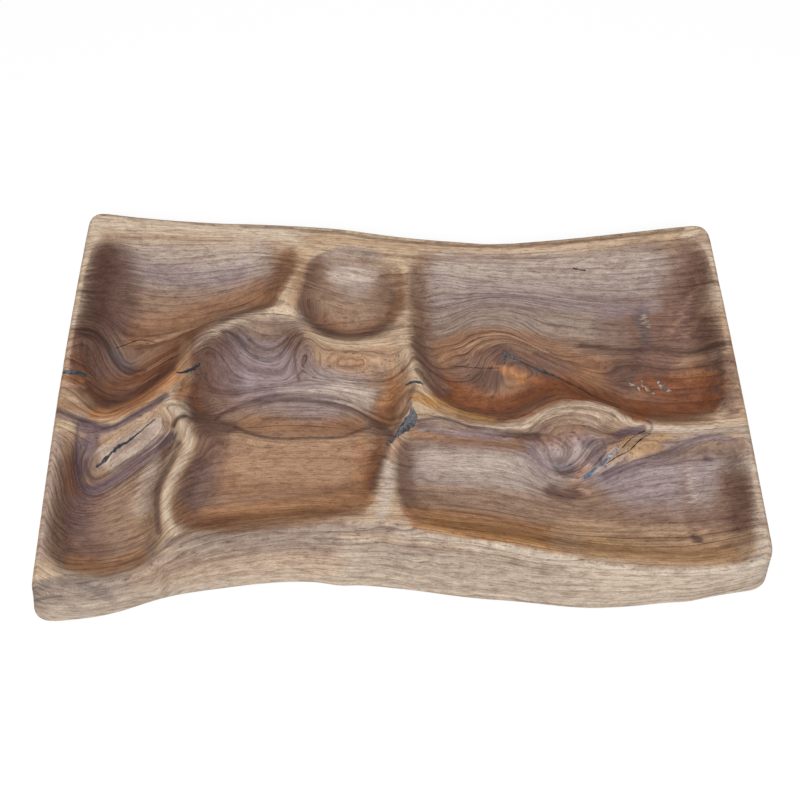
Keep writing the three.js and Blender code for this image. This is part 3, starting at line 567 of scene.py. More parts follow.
        ("grey", 40, 0.9, ((425, 465), (480, 467), (540, 475))),
        ("cream", 22, 0.3, ((432, 460), (470, 463), (515, 466))),
        ("chestnut", 10, 0.7, ((412, 434), (450, 438), (500, 442), (545, 448))),
        # painted shade on the left wall
        ("cocoa", 14, 0.7, ((404, 450), (405, 480), (410, 505))),
        ("brown", 20, 0.8, ((425, 496), (480, 500), (560, 508), (620, 512), (690, 514))),
        ("lilac", 32, 0.9, ((545, 450), (575, 455), (605, 465))),
        ("cream", 15, 0.4, ((548, 446), (570, 450), (590, 460))),
        ("plum", 9, 0.6, ((586, 440), (596, 450), (594, 462))),
        ("slate", 8, 0.6, ((560, 468), (578, 471))),
        ("salmon", 6, 0.6, ((585, 466), (575, 480))),
        ("cream", 5, 0.5, ((598, 470), (612, 462))),
        ("umber", 11, 0.85, ((550, 490), (562, 496), (576, 493))),
        # a painted glint
        ("salmon", 3, 0.6, ((580, 488), (588, 492))),
        # painted reflection: grey haze of gloss on the floor
        ("grey", 36, 0.9, ((640, 486), (700, 478), (730, 474))),
        ("lilac", 26, 0.6, ((620, 486), (660, 478), (700, 472))),
        ("lilac", 12, 0.8, ((610, 485), (640, 475), (670, 468))),
        ("honey", 15, 0.7, ((612, 455), (640, 447), (664, 440))),
        ("gold", 7, 0.3, ((634, 452), (654, 443), (666, 433))),
        ("gold", 5, 0.5, ((613, 447), (628, 438))),
        ("cocoa", 7, 0.6, ((600, 444), (612, 439), (620, 436))),
        ("plum", 6, 0.85, ((616, 437), (628, 432), (638, 430))),
        ("plum", 7, 0.7, ((606, 476), (640, 462), (668, 455), (690, 444), (715, 436), (750, 434))),
        ("lilac", 8, 0.6, ((668, 446), (700, 438), (748, 440))),
        ("lilac", 22, 0.4, ((640, 503), (700, 503))),
        ("cocoa", 18, 0.5, ((585, 508), (625, 514), (660, 516))),
        # painted shade down the right wall and into its front corner
        ("cocoa", 28, 0.9, ((734, 484), (738, 505), (734, 525))),
        ("umber", 16, 0.35, ((744, 490), (742, 520))),
        ("cocoa", 16, 0.6, ((698, 512), (712, 522), (728, 526))),
        # painted shade: the golden colour of the front wall, turned from the light
        ("amber", 20, 0.95, ((410, 519), (480, 527), (560, 541))),
        ("gold", 12, 0.45, ((430, 524), (520, 538), (600, 551))),
        ("honey", 28, 0.9, ((570, 536), (610, 543), (660, 548), (736, 548))),
        ("gold", 14, 0.4, ((590, 546), (660, 556), (730, 556))),
        # painted shade and a painted highlight along the gouged crease
        ("cocoa", 6, 0.4, ((682, 470), (684, 500), (690, 525), (697, 541))),
        ("cream", 5, 0.4, ((689, 468), (692, 490), (696, 505))),
        ("umber", 5, 0.9, ((692, 537), (701, 541))),
        ("plum", 4, 0.8, ((704, 458), (709, 460))),
    ),
    "ridges": (
        # a painted highlight along the ridge, and painted shade down its steep side
        ("straw", 7, 0.6, ((192, 347), (217, 329), (250, 317), (290, 310))),
        ("umber", 4, 0.5, ((182, 354), (198, 339), (222, 322), (250, 310), (282, 301))),
        ("umber", 4, 0.5, ((305, 316), (322, 331), (352, 337), (380, 332), (403, 324))),
        ("rust", 4, 0.5, ((424, 388), (442, 402), (470, 415), (500, 420), (530, 413), (553, 402),
                          (575, 398), (605, 402), (630, 414), (652, 421), (712, 420))),
        ("tan", 7, 0.8, ((310, 336), (345, 343), (400, 340))),
        ("gold", 7, 0.9, ((412, 396), (440, 406), (470, 417), (492, 422))),
        ("honey", 4, 0.5, ((440, 408), (470, 420), (500, 426))),
        ("cream", 5, 0.6, ((478, 424), (500, 428), (524, 426))),
        ("lilac", 6, 0.8, ((420, 427), (460, 433), (510, 437))),
        ("plum", 5, 0.6, ((415, 424), (440, 420), (470, 428), (500, 433))),
        ("umber", 6, 0.8, ((506, 433), (526, 436), (548, 438))),
        ("tan", 13, 0.7, ((555, 426), (600, 420))),
        ("cream", 12, 0.35, ((548, 424), (575, 418), (600, 420))),
        # a painted highlight along the top edge of the hump
        ("straw", 5, 0.8, ((526, 426), (545, 413), (565, 406), (590, 405), (610, 410),
                           (626, 420), (638, 426))),
        ("cocoa", 2.5, 0.5, ((540, 428), (556, 418), (580, 415), (608, 422))),
        ("salmon", 14, 0.45, ((545, 437), (575, 431))),
        ("plum", 6, 0.8, ((622, 432), (634, 430), (644, 428))),
        ("cream", 6, 0.7, ((650, 427), (690, 430), (745, 428))),
        ("orange", 5, 0.7, ((62, 377), (82, 380))),
        ("salmon", 5, 0.8, ((60, 384), (85, 387))),
        ("honey", 8, 0.3, ((60, 392), (88, 400))),
    ),
    "crossings": (
        ("plum", 8, 0.7, ((56, 412), (74, 418), (90, 425), (106, 429))),
        ("plum", 13, 0.8, ((84, 426), (94, 431), (88, 446))),
        ("orange", 9, 0.8, ((94, 414), (112, 414), (128, 408), (150, 395), (175, 377))),
        ("plum", 6, 0.85, ((104, 429), (118, 426), (134, 416), (150, 407), (166, 396))),
        ("honey", 6, 0.8, ((104, 442), (128, 429), (150, 416), (170, 403))),
        ("orange", 8, 0.6, ((180, 365), (186, 385), (178, 398))),
        ("straw", 10, 0.7, ((170, 404), (180, 410), (186, 422))),
        # the ridge between the front hollows: painted shade down its left flank and a painted
        # highlight along its crest
        ("umber", 5, 0.75, ((180, 444), (170, 466), (160, 484), (157, 505), (159, 532))),
        ("honey", 9, 0.8, ((186, 424), (192, 440), (186, 458), (176, 476), (168, 496),
                           (168, 520))),
        ("straw", 6, 0.75, ((184, 424), (190, 438), (186, 455), (176, 474), (167, 494), (168, 518),
                            (176, 532))),
        ("umber", 4, 0.7, ((173, 426), (177, 419), (184, 416))),
        ("honey", 9, 0.7, ((186, 345), (184, 365), (188, 378))),
        ("chestnut", 8, 0.4, ((192, 342), (186, 356), (184, 368))),
        ("honey", 8, 0.8, ((292, 302), (299, 280), (303, 255))),
        ("honey", 9, 0.6, ((392, 366), (402, 380))),
        ("honey", 8, 0.6, ((398, 440), (405, 400), (414, 388))),
        ("umber", 4, 0.6, ((413, 388), (409, 398), (411, 408))),
        ("cocoa", 8, 0.8, ((418, 340), (423, 358), (433, 376), (446, 391))),
        ("umber", 4, 0.6, ((417, 370), (428, 384), (440, 396))),
        ("umber", 4, 0.6, ((407, 408), (397, 426), (388, 444))),
        ("salmon", 6, 0.6, ((402, 432), (394, 448), (388, 464))),
        ("cream", 11, 0.8, ((390, 466), (386, 495), (380, 516))),
    ),
}

# Where growth lines show more or less than elsewhere, and where many fine lines run side by side:
# how strongly elsewhere, and then how strongly, how far that reaches to each side in pixels of the
# photograph, and the places it runs through
SHOWINGS = {
    "figure": (1.0, (
        (0.4, 60, ((240, 470), (340, 470))),
        (0.5, 40, ((425, 465), (530, 472))),
        (0.6, 40, ((600, 500), (735, 490))),
        (0.6, 40, ((100, 525), (145, 515))),
        (0.5, 50, ((350, 275), (352, 305))),
        (0.7, 30, ((600, 320), (690, 310))),
        (0.5, 30, ((102, 250), (115, 310))),
        (0.5, 24, ((198, 360), (196, 405))),
        (0.6, 40, ((60, 606), (200, 578), (300, 567), (500, 582), (765, 580))),
        (1.4, 24, ((560, 415), (600, 412))),
        (1.4, 26, ((150, 372), (190, 345), (250, 318))),
        (1.4, 30, ((470, 350), (505, 345), (540, 360))),
        (0.5, 14, ((340, 361), (364, 361))),
        (0.4, 13, ((184, 424), (189, 440), (183, 457), (172, 476), (164, 496), (166, 520))),
        (0.6, 14, ((98, 226), (200, 232), (300, 238))),
        (0.6, 12, ((390, 466), (386, 495), (380, 516))),
    )),
    "lining": (0.35, (
        (1.0, 16, ((72, 332), (95, 336), (108, 350), (120, 366), (140, 374))),
        (0.9, 30, ((84, 365), (96, 385), (120, 398), (150, 385), (190, 350), (240, 322))),
        (1.0, 26, ((240, 335), (262, 348), (287, 340))),
        (0.8, 14, ((300, 340), (300, 372))),
        (1.0, 12, ((210, 422), (240, 408), (275, 402), (320, 403), (360, 412), (390, 430))),
        (0.7, 18, ((240, 428), (300, 430), (360, 428))),
        (0.9, 26, ((470, 345), (500, 345), (540, 355), (600, 380), (680, 392))),
        (0.8, 24, ((470, 380), (500, 388), (540, 385))),
        (0.7, 26, ((440, 300), (520, 298), (620, 310))),
        (1.0, 16, ((78, 430), (82, 480), (96, 494), (130, 474), (172, 444))),
        (0.9, 14, ((418, 424), (460, 430), (545, 440))),
        (0.9, 24, ((550, 415), (580, 412), (615, 420))),
        (0.9, 30, ((545, 450), (575, 462), (600, 450))),
        (1.0, 16, ((604, 480), (640, 462), (690, 448), (750, 438))),
        (0.9, 40, ((410, 520), (500, 532), (600, 545), (720, 548))),
        (0.8, 20, ((200, 512), (300, 508), (365, 500))),
        (0.1, 13, ((184, 424), (189, 440), (183, 457), (172, 476), (164, 496), (166, 520))),
    )),
}

# Dark growth lines: half of the width in pixels, how dark, and the places
DARK_LINES = (
    (1.0, 0.45, ((504, 351), (512, 357), (526, 364), (540, 371), (554, 376), (575, 386), (596, 397),
                 (619, 407))),
    (1.0, 0.5, ((72, 329), (90, 330), (100, 336), (107, 344), (112, 353), (117, 361), (124, 367),
                (135, 371), (145, 370))),
    (1.0, 0.45, ((76, 334), (92, 336), (100, 342), (108, 352), (116, 364), (126, 373), (138, 376))),
    (1.0, 0.35, ((215, 420), (225, 412), (240, 406), (255, 402), (275, 400), (300, 400), (320, 402),
                 (340, 405), (355, 409), (365, 415), (375, 420), (390, 426))),
    (1.0, 0.5, ((235, 427), (250, 433), (265, 437), (285, 439), (310, 438), (330, 438), (345, 436),
                (360, 430), (370, 428))),
    (1.0, 0.45, ((262, 419), (290, 418), (320, 419))),
    (1.0, 0.45, ((222, 331), (235, 335), (243, 345), (250, 355), (260, 360), (272, 361),
                 (283, 355), (288, 348), (293, 338), (302, 334))),
    (1.0, 0.4, ((248, 340), (258, 346), (270, 349), (280, 345), (288, 338))),
    (1.0, 0.4, ((303, 335), (298, 345), (295, 355), (296, 368), (299, 380))),
    (1.0, 0.35, ((327, 360), (333, 354), (345, 352), (360, 353), (376, 357))),
    (1.0, 0.4, ((255, 399), (270, 395), (290, 394), (320, 396), (350, 401))),
    (1.0, 0.4, ((93, 456), (89, 472), (95, 479), (110, 472), (135, 455), (160, 435))),
    (1.0, 0.4, ((78, 424), (76, 456), (82, 487), (93, 497), (110, 491), (137, 472), (164, 453),
                (175, 441))),
    (1.0, 0.4, ((59, 412), (87, 422), (108, 428), (137, 413), (164, 398))),
    (1.0, 0.6, ((174, 426), (177, 419), (184, 416), (192, 419))),
    (1.0, 0.4, ((164, 406), (174, 404), (184, 406))),
    (1.0, 0.5, ((648, 421), (652, 425), (650, 432), (642, 434))),
    (1.0, 0.35, ((602, 474), (617, 468), (639, 459), (668, 450), (690, 441), (715, 434),
                 (750, 432))),
    (1.0, 0.45, ((418, 421), (440, 418), (455, 421), (470, 427), (489, 429), (512, 433),
                 (549, 435))),
    (1.0, 0.4, ((530, 430), (540, 420), (550, 412), (560, 409), (580, 408), (600, 411),
                (615, 416))),
    (1.0, 0.4, ((536, 436), (547, 448), (551, 462), (562, 474), (578, 478))),
    (1.0, 0.4, ((572, 431), (583, 443), (580, 456), (570, 464))),
    (1.0, 0.45, ((602, 440), (606, 450), (600, 460), (606, 467))),
    (1.0, 0.5, ((30, 602), (45, 598), (61, 596))),
    (0.8, 0.35, ((240, 226), (290, 229), (330, 232))),
    (0.9, 0.45, ((300, 231), (340, 233), (370, 238), (420, 243), (500, 247), (560, 243),
                 (620, 237), (684, 229))),
    (1.0, 0.4, ((580, 345), (624, 350), (657, 350), (690, 353), (713, 346), (735, 340))),
)

# Hairline cracks that hold no resin: half of the width in metres and places in the photograph
HAIRLINES = (
    (0.0003, ((512, 357), (526, 364), (540, 371), (554, 376), (575, 386), (590, 394))),
    (0.0003, ((116, 348), (125, 345), (135, 341), (142, 340), (155, 342))),
    (0.0004, ((573, 268), (579, 270), (585, 271))),
    (0.0003, ((456, 366), (480, 368), (500, 368))),
    (0.0003, ((125, 444), (130, 440), (140, 432), (150, 423), (155, 420))),
    (0.0003, ((606, 464), (615, 458), (630, 450), (640, 440), (650, 434))),
    (0.0003, ((622, 448), (630, 440), (638, 434), (645, 431))),
)

# The cracks as in the CAD model: the width at the widest place and one or more runs, each a list of
# places as shares of half the length and half the depth, with a share of the width
CRACKS = {
    "rim_crack_fill": (0.0042, (
        ((-1.01, 0.08, 0.6), (-0.98, 0.082, 1), (-0.955, 0.09, 1), (-0.941, 0.09, 0.4)),)),
    "ridge_crack_fill": (0.0019, (
        ((-0.668, 0.071, 0.4), (-0.652, 0.076, 0.7), (-0.635, 0.093, 1), (-0.607, 0.138, 0.6)),)),
    "front_left_crack_fill": (0.0027, (
        ((-0.892, -0.344, 0.4), (-0.871, -0.317, 1), (-0.84, -0.278, 0.75), (-0.81, -0.253, 0.5),
         (-0.78, -0.22, 0.3), (-0.725, -0.152, 0.2)),)),
    "junction_upper_crack_fill": (0.0027, (
        ((0.013, -0.01, 0.5), (0.028, 0.001, 1), (0.046, 0, 1), (0.063, -0.01, 0.5)),)),
    "junction_lower_crack_fill": (0.011, (
        ((0.027, -0.137, 0.2), (0.03, -0.162, 0.6), (0.025, -0.19, 1), (0.007, -0.222, 0.75),
         (-0.016, -0.26, 0.35), (-0.034, -0.292, 0.2)),)),
    "back_right_star_fill": (0.0034, (
        ((0.319, 0.223, 0.3), (0.33, 0.207, 0.9), (0.342, 0.19, 1), (0.363, 0.168, 0.5),
         (0.38, 0.146, 0.25)),
        ((0.33, 0.207, 0.6), (0.323, 0.174, 0.4), (0.318, 0.148, 0.25)))),
    "back_right_streak_fill": (0.0019, (
        ((0.404, 0.129, 0.3), (0.42, 0.118, 1), (0.44, 0.11, 0.9), (0.47, 0.086, 0.6),
         (0.492, 0.064, 0.3)),)),
    "back_right_knot_fill_left": (0.006, (
        ((0.696, 0.046, 0.3), (0.707, 0.025, 0.6), (0.718, 0.013, 0.6), (0.729, 0.002, 0.3)),)),
    "back_right_knot_fill_middle": (0.006, (
        ((0.734, 0.056, 0.2), (0.739, 0.024, 0.4), (0.75, 0.002, 0.4), (0.769, -0.021, 0.2)),)),
    "back_right_knot_fill_right": (0.005, (
        ((0.785, 0.044, 0.4), (0.795, 0.022, 1), (0.805, 0, 0.9), (0.819, -0.007, 0.4)),)),
    "front_right_crack_fill_lower": (0.003, (
        ((0.525, -0.433, 0.5), (0.538, -0.42, 1), (0.551, -0.401, 1), (0.563, -0.383, 0.5)),)),
    "front_right_crack_fill_upper": (0.0027, (
        ((0.576, -0.374, 0.6), (0.592, -0.352, 0.8), (0.607, -0.331, 0.7), (0.635, -0.291, 0.3)),)),
}

board_low, board_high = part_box("carved_board")
half_length = (board_high.x - board_low.x) / 2
half_depth = (board_high.y - board_low.y) / 2
thickness = board_high.z


def tree_of(names):
    """One search tree of several CAD nodes."""
    points = []
    faces = []
    for name in names:
        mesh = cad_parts[name].data
        first = len(points)
        points.extend(vertex.co.copy() for vertex in mesh.vertices)
        faces.extend([first + index for index in face.vertices] for face in mesh.polygons)
    return BVHTree.FromPolygons(points, faces)


cad_tree = tree_of(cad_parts)


def softened(values, cells, axis, mode):
    """A grid of values, evened out along one axis over a number of cells."""
    reach = math.ceil(SOFTENING_REACH * cells)
    weights = np.exp(-0.5 * (np.arange(-reach, reach + 1) / cells) ** 2)
    weights /= weights.sum()
    margins = [(reach, reach) if number == axis else (0, 0) for number in range(values.ndim)]
    padded = np.pad(values, margins, mode=mode)
    count = values.shape[axis]
    return sum(weight * np.take(padded, range(first, first + count), axis)
               for first, weight in enumerate(weights))


def carved_height(x, y):
    """The height of the CAD surface at a place, with the narrow gaps beside the fills closed."""
    highest = 0
    for dx, dy in CLOSE_RAYS:
        hit = cad_tree.ray_cast(Vector((x + dx, y + dy, OUTSIDE)), Vector((0, 0, -1)))[0]
        if hit is not None:
            highest = max(highest, hit.z)
    return highest


def side_place(centre, outward, height):
    """Where the slab's side is met, coming level from outside towards a centre."""
    level = max(height - HAIR, BASE_ROUND + HAIR)
    start = Vector((centre[0] + outward[0] * OUTSIDE, centre[1] + outward[1] * OUTSIDE, level))
    hit = cad_tree.ray_cast(start, Vector((-outward[0], -outward[1], 0)))[0]
    return (hit.x, hit.y)


def crest_height(centre, outward):
    """How high the slab rises behind its side before a hollow starts, or the top is reached."""
    x, y = side_place(centre, outward, MIDDLE_LEVEL)
    steps = [CREST_REACH * step / CREST_STEPS for step in range(1, CREST_STEPS + 1)]
    return max(carved_height(x - outward[0] * step, y - outward[1] * step) for step in steps)


def gouged(plan, heights):
    """The heights of the top over a grid of places, with the marks and waves of hand carving."""
    places = np.dstack([plan, heights]).reshape(-1, 3)
    pixels = pixels_of(places)
    carved = heights.ravel().copy()
    for depth, reach, path in GOUGE_MARKS:
        carved -= depth * rounded(closeness(pixels, path, reach))
    for number, place in enumerate(places.tolist()):
        carved[number] += WAVE_HEIGHT * noise.noise([length / WAVE_LENGTH for length in place])
    return carved.reshape(heights.shape)


def groove_depths(ring, heights, out):
    """How deep the grain of the live edges lies at each place of a ring down the side."""
    away = np.sin(np.pi * np.clip(heights / thickness, 0, 1)) * out[:, 1] ** 2
    found = [noise.noise((x / GROOVE_LENGTHS[0], z / GROOVE_LENGTHS[1], 0))
             for x, z in zip(ring[:, 0], heights)]
    return GROOVE_DEPTH * (1 + np.array(found)) * away


def stations():
    """All round the slab against the clock from the middle of the front left corner: the centre
    that the side is met towards and the way out from there. Also how many lie along the front and
    along an end."""
    straight = half_length - CORNER_RADIUS
    turn_steps = round(CORNER_RADIUS * math.pi / 4 / GRID)
    pivots = []
    for along, across in ((-1, -1), (1, -1), (1, 1), (-1, 1)):
        y = side_place((along * straight, 0), (0, across), thickness - SHOULDER_ROUND)[1]
        pivots.append((along * straight, y - across * CORNER_RADIUS))
    long_steps = round(2 * straight / GRID)
    short_steps = round((pivots[3][1] - pivots[0][1]) / GRID)
    found = []
    for side in range(4):
        start, end = pivots[side], pivots[(side + 1) % 4]
        facing = math.pi / 2 * (side - 1)
        out = (round(math.cos(facing)), round(math.sin(facing)))
        steps = (long_steps, short_steps)[side % 2]
        for step in range(turn_steps):
            angle = facing - math.pi / 4 * (1 - step / turn_steps)
            found.append((start, (math.cos(angle), math.sin(angle))))
        for step in range(steps):
            share = step / steps
            place = [a + (b - a) * share for a, b in zip(start, end)]
            centre = (place[0], 0) if side % 2 == 0 else (0, place[1])
            found.append((centre, out))
        for step in range(turn_steps):
            angle = facing + math.pi / 4 * step / turn_steps
            found.append((end, (math.cos(angle), math.sin(angle))))
    return found, 2 * turn_steps + long_steps, 2 * turn_steps + short_steps


def outward_normals(ring):
    """The way out at each place of a ring that runs against the clock."""
    along = np.roll(ring, -1, 0) - np.roll(ring, 1, 0)
    out = np.stack([along[:, 1], -along[:, 0]], 1)
    return out / np.linalg.norm(out, axis=1, keepdims=True)


def side_rings(around):
    """Rings of places down the side of the slab, from below the shoulder to the top of the base
    round, as rows of (x, y), with their heights."""
    crests = np.array([crest_height(centre, out) for centre, out in around])
    crests = softened(crests, SOFTENING / GRID, 0, "wrap")
    heights = np.linspace(crests - SHOULDER_ROUND, BASE_ROUND, SIDE_ROWS)
    rows = [[side_place(*station, height) for station, height in zip(around, levels)]
            for levels in heights]
    rings = softened(np.array(rows), SOFTENING / GRID, 1, "wrap")
    return softened(rings, 1, 0, "edge"), heights


def patch(ring, long_count, short_count):
    """A grid of places inside a ring, whose four sides it follows: rows from front to back."""
    front = ring[: long_count + 1]
    right = ring[long_count : long_count + short_count + 1]
    back = ring[long_count + short_count : 2 * long_count + short_count + 1][::-1]
    left = np.concatenate([ring[2 * long_count + short_count :], ring[:1]])[::-1]
    u = np.linspace(0, 1, long_count + 1)[None, :, None]
    v = np.linspace(0, 1, short_count + 1)[:, None, None]
    between_long = (1 - v) * front[None] + v * back[None]
    between_short = (1 - u) * left[:, None] + u * right[:, None]
    low = (1 - u) * front[0] + u * front[-1]
    high = (1 - u) * back[0] + u * back[-1]
    return between_long + between_short - (1 - v) * low - v * high


def surface_heights(plan):
    """The heights of the top over a grid of places."""
    found = np.array([[carved_height(*place) for place in row] for row in plan.tolist()])
    found = softened(found, SOFTENING / GRID, 0, "edge")
    return softened(found, SOFTENING / GRID, 1, "edge")


def ring_of(long_count, short_count):
    """The rows and columns of a grid's border, in the order of the stations."""
    front = [(0, column) for column in range(long_count)]
    right = [(row, long_count) for row in range(short_count)]
    back = [(short_count, column) for column in range(long_count, 0, -1)]
    left = [(row, 0) for row in range(short_count, 0, -1)]
    return np.array(front + right + back + left)


def base_faces(ring, first_index):
    """Points inside the flat base and the triangles that join them to its ring, facing down."""
    low, high = ring.min(0), ring.max(0)
    columns, rows = np.ceil((high - low) / BASE_SPACING).astype(int)
    inside = [(low[0] + column * BASE_SPACING, low[1] + row * BASE_SPACING)
              for column in range(1, columns) for row in range(1, rows)]
    points = [Vector(place) for place in ring.tolist() + inside]
    outline = [list(range(len(ring)))]
    made = delaunay_2d_cdt(points, [], outline, 1, MERGE_DISTANCE)
    corners, faces, sources = made[0], made[2], made[3]
    extra = []
    index_of = []
    for number, corner in enumerate(corners):
        kept = [source for source in sources[number] if source < len(ring)]
        if kept:
            index_of.append(first_index + kept[0])
        else:
            index_of.append(first_index + len(ring) + len(extra))
            extra.append((corner.x, corner.y, 0))
    return extra, [[index_of[corner] for corner in reversed(face)] for face in faces]


def eased(points):
    """Points of the slab, with its ends bowed out and its front foot drawn forward."""
    x, y, z = points.T
    bow = np.where(x < 0, *END_BOWS) * (1 - (y / half_depth) ** 2)
    low = 1 - z / thickness
    front = np.clip(-y / half_depth, 0, 1)
    along = np.abs(x) / half_length
    corner = CORNER_FOOT * low * front ** CORNER_FRONT_POWER * along ** CORNER_END_POWER
    foot = FRONT_FOOT * (1 - along ** FOOT_END_POWER)
    for place, reach, height in FOOT_BUMPS:
        foot += height * np.exp(-((x - place) / reach) ** 2)
    forward = foot * low * front ** FOOT_POWER
    outward = bow * along ** BOW_POWER + corner
    return np.column_stack([x + np.sign(x) * outward, y - forward, z])


def slab_mesh():
    """The whole slab with its hollows as a fine closed mesh, before the cracks are cut, and for
    each of its points the place on the top that it lies below and how its growth level shifts."""
    around, long_count, short_count = stations()
    sides, heights = side_rings(around)
    out = outward_normals(sides[0])
    lean = (sides[0] - sides[1]) / (heights[0] - heights[1])[:, None]
    plan = patch(sides[0] + (lean - out) * SHOULDER_ROUND, long_count, short_count)
    top = gouged(plan, surface_heights(plan))
    border = ring_of(long_count, short_count)
    edge_tops = top[border[:, 0], border[:, 1]]
    count = len(border)
    points = [np.dstack([plan, top]).reshape(-1, 3)]
    rings = [border[:, 0] * (long_count + 1) + border[:, 1]]
    total = plan.shape[0] * plan.shape[1]
    edge_places = plan[border[:, 0], border[:, 1]]
    slope = out[:, 1] + SIDE_SLOPE_SHARE * (1 - np.abs(out[:, 1]))
    above = [plan.reshape(-1, 2)]
    shifts = [np.zeros(total)]

    def add_ring(places, levels):
        nonlocal total
        points.append(np.column_stack([places, np.broadcast_to(levels, count)]))
        rings.append(np.arange(total, total + count))
        above.append(edge_places)
        shifts.append((edge_tops - points[-1][:, 2]) * slope)
        total += count

    for step in range(1, SHOULDER_STEPS + 1):
        turn = math.pi / 2 * step / SHOULDER_STEPS
        drop = SHOULDER_ROUND * (1 - math.cos(turn))
        inset = SHOULDER_ROUND * (1 - math.sin(turn))
        add_ring(sides[0] + lean * (SHOULDER_ROUND - drop) - out * inset, edge_tops - drop)
    for places, height in zip(sides[1:], heights[1:]):
        add_ring(places - out * groove_depths(places, height, out)[:, None], height)
    for step in range(1, BASE_STEPS + 1):
        turn = math.pi / 2 * step / BASE_STEPS
        height = BASE_ROUND * (1 - math.sin(turn))
        add_ring(sides[-1] - out * BASE_ROUND * (1 - math.cos(turn)), height)
    base_points, faces = base_faces(points[-1][:, :2], total - count)
    points.append(np.array(base_points))
    above.append(points[-1][:, :2])
    shifts.append(np.zeros(len(base_points)))
    corner = np.arange(total)[: plan.shape[0] * plan.shape[1]].reshape(plan.shape[:2])
    quads = np.stack([corner[:-1, :-1], corner[:-1, 1:], corner[1:, 1:], corner[1:, :-1]], 2)
    faces.extend(quads.reshape(-1, 4).tolist())
    for upper, lower in zip(rings, rings[1:]):
        band = np.stack([lower, np.roll(lower, -1), np.roll(upper, -1), upper], 1)
        faces.extend(band.tolist())
    mesh = bpy.data.meshes.new("carved_walnut_board")
    mesh.from_pydata(eased(np.concatenate(points)).tolist(), [], faces)
    mesh.validate()
    return mesh, np.concatenate(above), np.concatenate(shifts)


def curve_through(points, spacing):
    """Places along a smooth curve through points of any dimension, about evenly spaced."""
    points = np.array(points, float)
    padded = np.concatenate([points[:1], points, points[-1:]])
    found = []
    for before, start, end, after in zip(padded, padded[1:], padded[2:], padded[3:]):
        steps = max(1, math.ceil(np.linalg.norm(end[:2] - start[:2]) / spacing))
        t = np.arange(steps)[:, None] / steps
        bend = 2 * before - 5 * start + 4 * end - after
        sway = 3 * (start - end) + after - before
        found.append(start + 0.5 * t * (end - before + t * (bend + t * sway)))
    return np.concatenate([*found, points[-1:]])


def on_board(pixels):
    """Where places of the photograph lie on the carved surface, as rows of (x, y)."""
    view = bpy.context.scene.camera.matrix_world
    found = []
    for across, down in pixels:
        seen = Vector((across - MIDDLE_PIXEL, MIDDLE_PIXEL - down, -FOCAL_PIXELS))
        hit = cad_tree.ray_cast(view.translation, (view.to_3x3() @ seen).normalized())[0]
        if hit is not None:
            found.append((hit.x, hit.y))
    return np.array(found)


def spline_kernel(distance):
    """How strongly a thin plate bends at a distance from a place that it is held at."""
    return distance ** 2 * np.log(np.maximum(distance, HAIR))


class GrowthField:
    """The level of the growth line at every place of the board: a thin plate bent through the
    growth lines, kept on an even grid and read from it with smooth curves."""

    def __init__(self):
        places = []
        levels = []
        for level, pixels in GROWTH_LINES:
            line = on_board(curve_through(pixels, GROWTH_PIXELS))
            places.append(line)
            levels.extend([level / MILLIMETRES] * len(line))
        places = np.concatenate(places)
        count = len(places)
        gaps = np.linalg.norm(places[:, None] - places[None], axis=2)
        plane = np.column_stack([np.ones(count), places])
        system = np.zeros((count + 3, count + 3))
        system[:count, :count] = spline_kernel(gaps) + GROWTH_SLACK * np.eye(count)
        system[:count, count:] = plane
        system[count:, :count] = plane.T
        weights = np.linalg.solve(system, np.append(levels, np.zeros(3)))
        self.low = np.array(board_low.xy) - GROWTH_MARGIN * GROWTH_CELL
        columns, rows = np.ceil((np.array(board_high.xy) - self.low) / GROWTH_CELL).astype(int)
        xs = self.low[0] + GROWTH_CELL * np.arange(columns + GROWTH_MARGIN + 1)
        ys = self.low[1] + GROWTH_CELL * np.arange(rows + GROWTH_MARGIN + 1)
        grid = []
        for y in ys:
            row = np.column_stack([xs, np.full(len(xs), y)])
            bends = spline_kernel(np.linalg.norm(row[:, None] - places[None], axis=2))
            grid.append(bends @ weights[:count] + weights[count] + row @ weights[count + 1 :])
        self.grid = np.array(grid)

    def at(self, places):
        """The levels at places, read along smooth curves through four rows and four columns."""
        scaled = (places - self.low) / GROWTH_CELL
        cell = np.clip(scaled.astype(int), 1, np.array(self.grid.shape[::-1]) - 3)
        t = (scaled - cell).T
        weights = []
        for share in t:
            weights.append((
                share * (share * (2 - share) - 1) / 2,
                (share * share * (3 * share - 5) + 2) / 2,
                share * (share * (4 - 3 * share) + 1) / 2,
                share * share * (share - 1) / 2,
            ))
        total = np.zeros(len(places))
        for row in range(4):
            for column in range(4):
                value = self.grid[cell[:, 1] + row - 1, cell[:, 0] + column - 1]
                total += weights[1][row] * weights[0][column] * value
        return total


def corners_of(mesh):
    """The points of a mesh, as rows of (x, y, z)."""
    flat = np.empty(3 * len(mesh.vertices))
    mesh.vertices.foreach_get("co", flat)
    return flat.reshape(-1, 3)


def pixels_of(places):
    """Where the camera sees places, as rows of pixels of the photograph."""
    inverse = np.array(bpy.context.scene.camera.matrix_world.inverted())
    seen = places @ inverse[:3, :3].T + inverse[:3, 3]
    across = MIDDLE_PIXEL - FOCAL_PIXELS * seen[:, 0] / seen[:, 2]
    down = MIDDLE_PIXEL + FOCAL_PIXELS * seen[:, 1] / seen[:, 2]
    return np.column_stack([across, down])


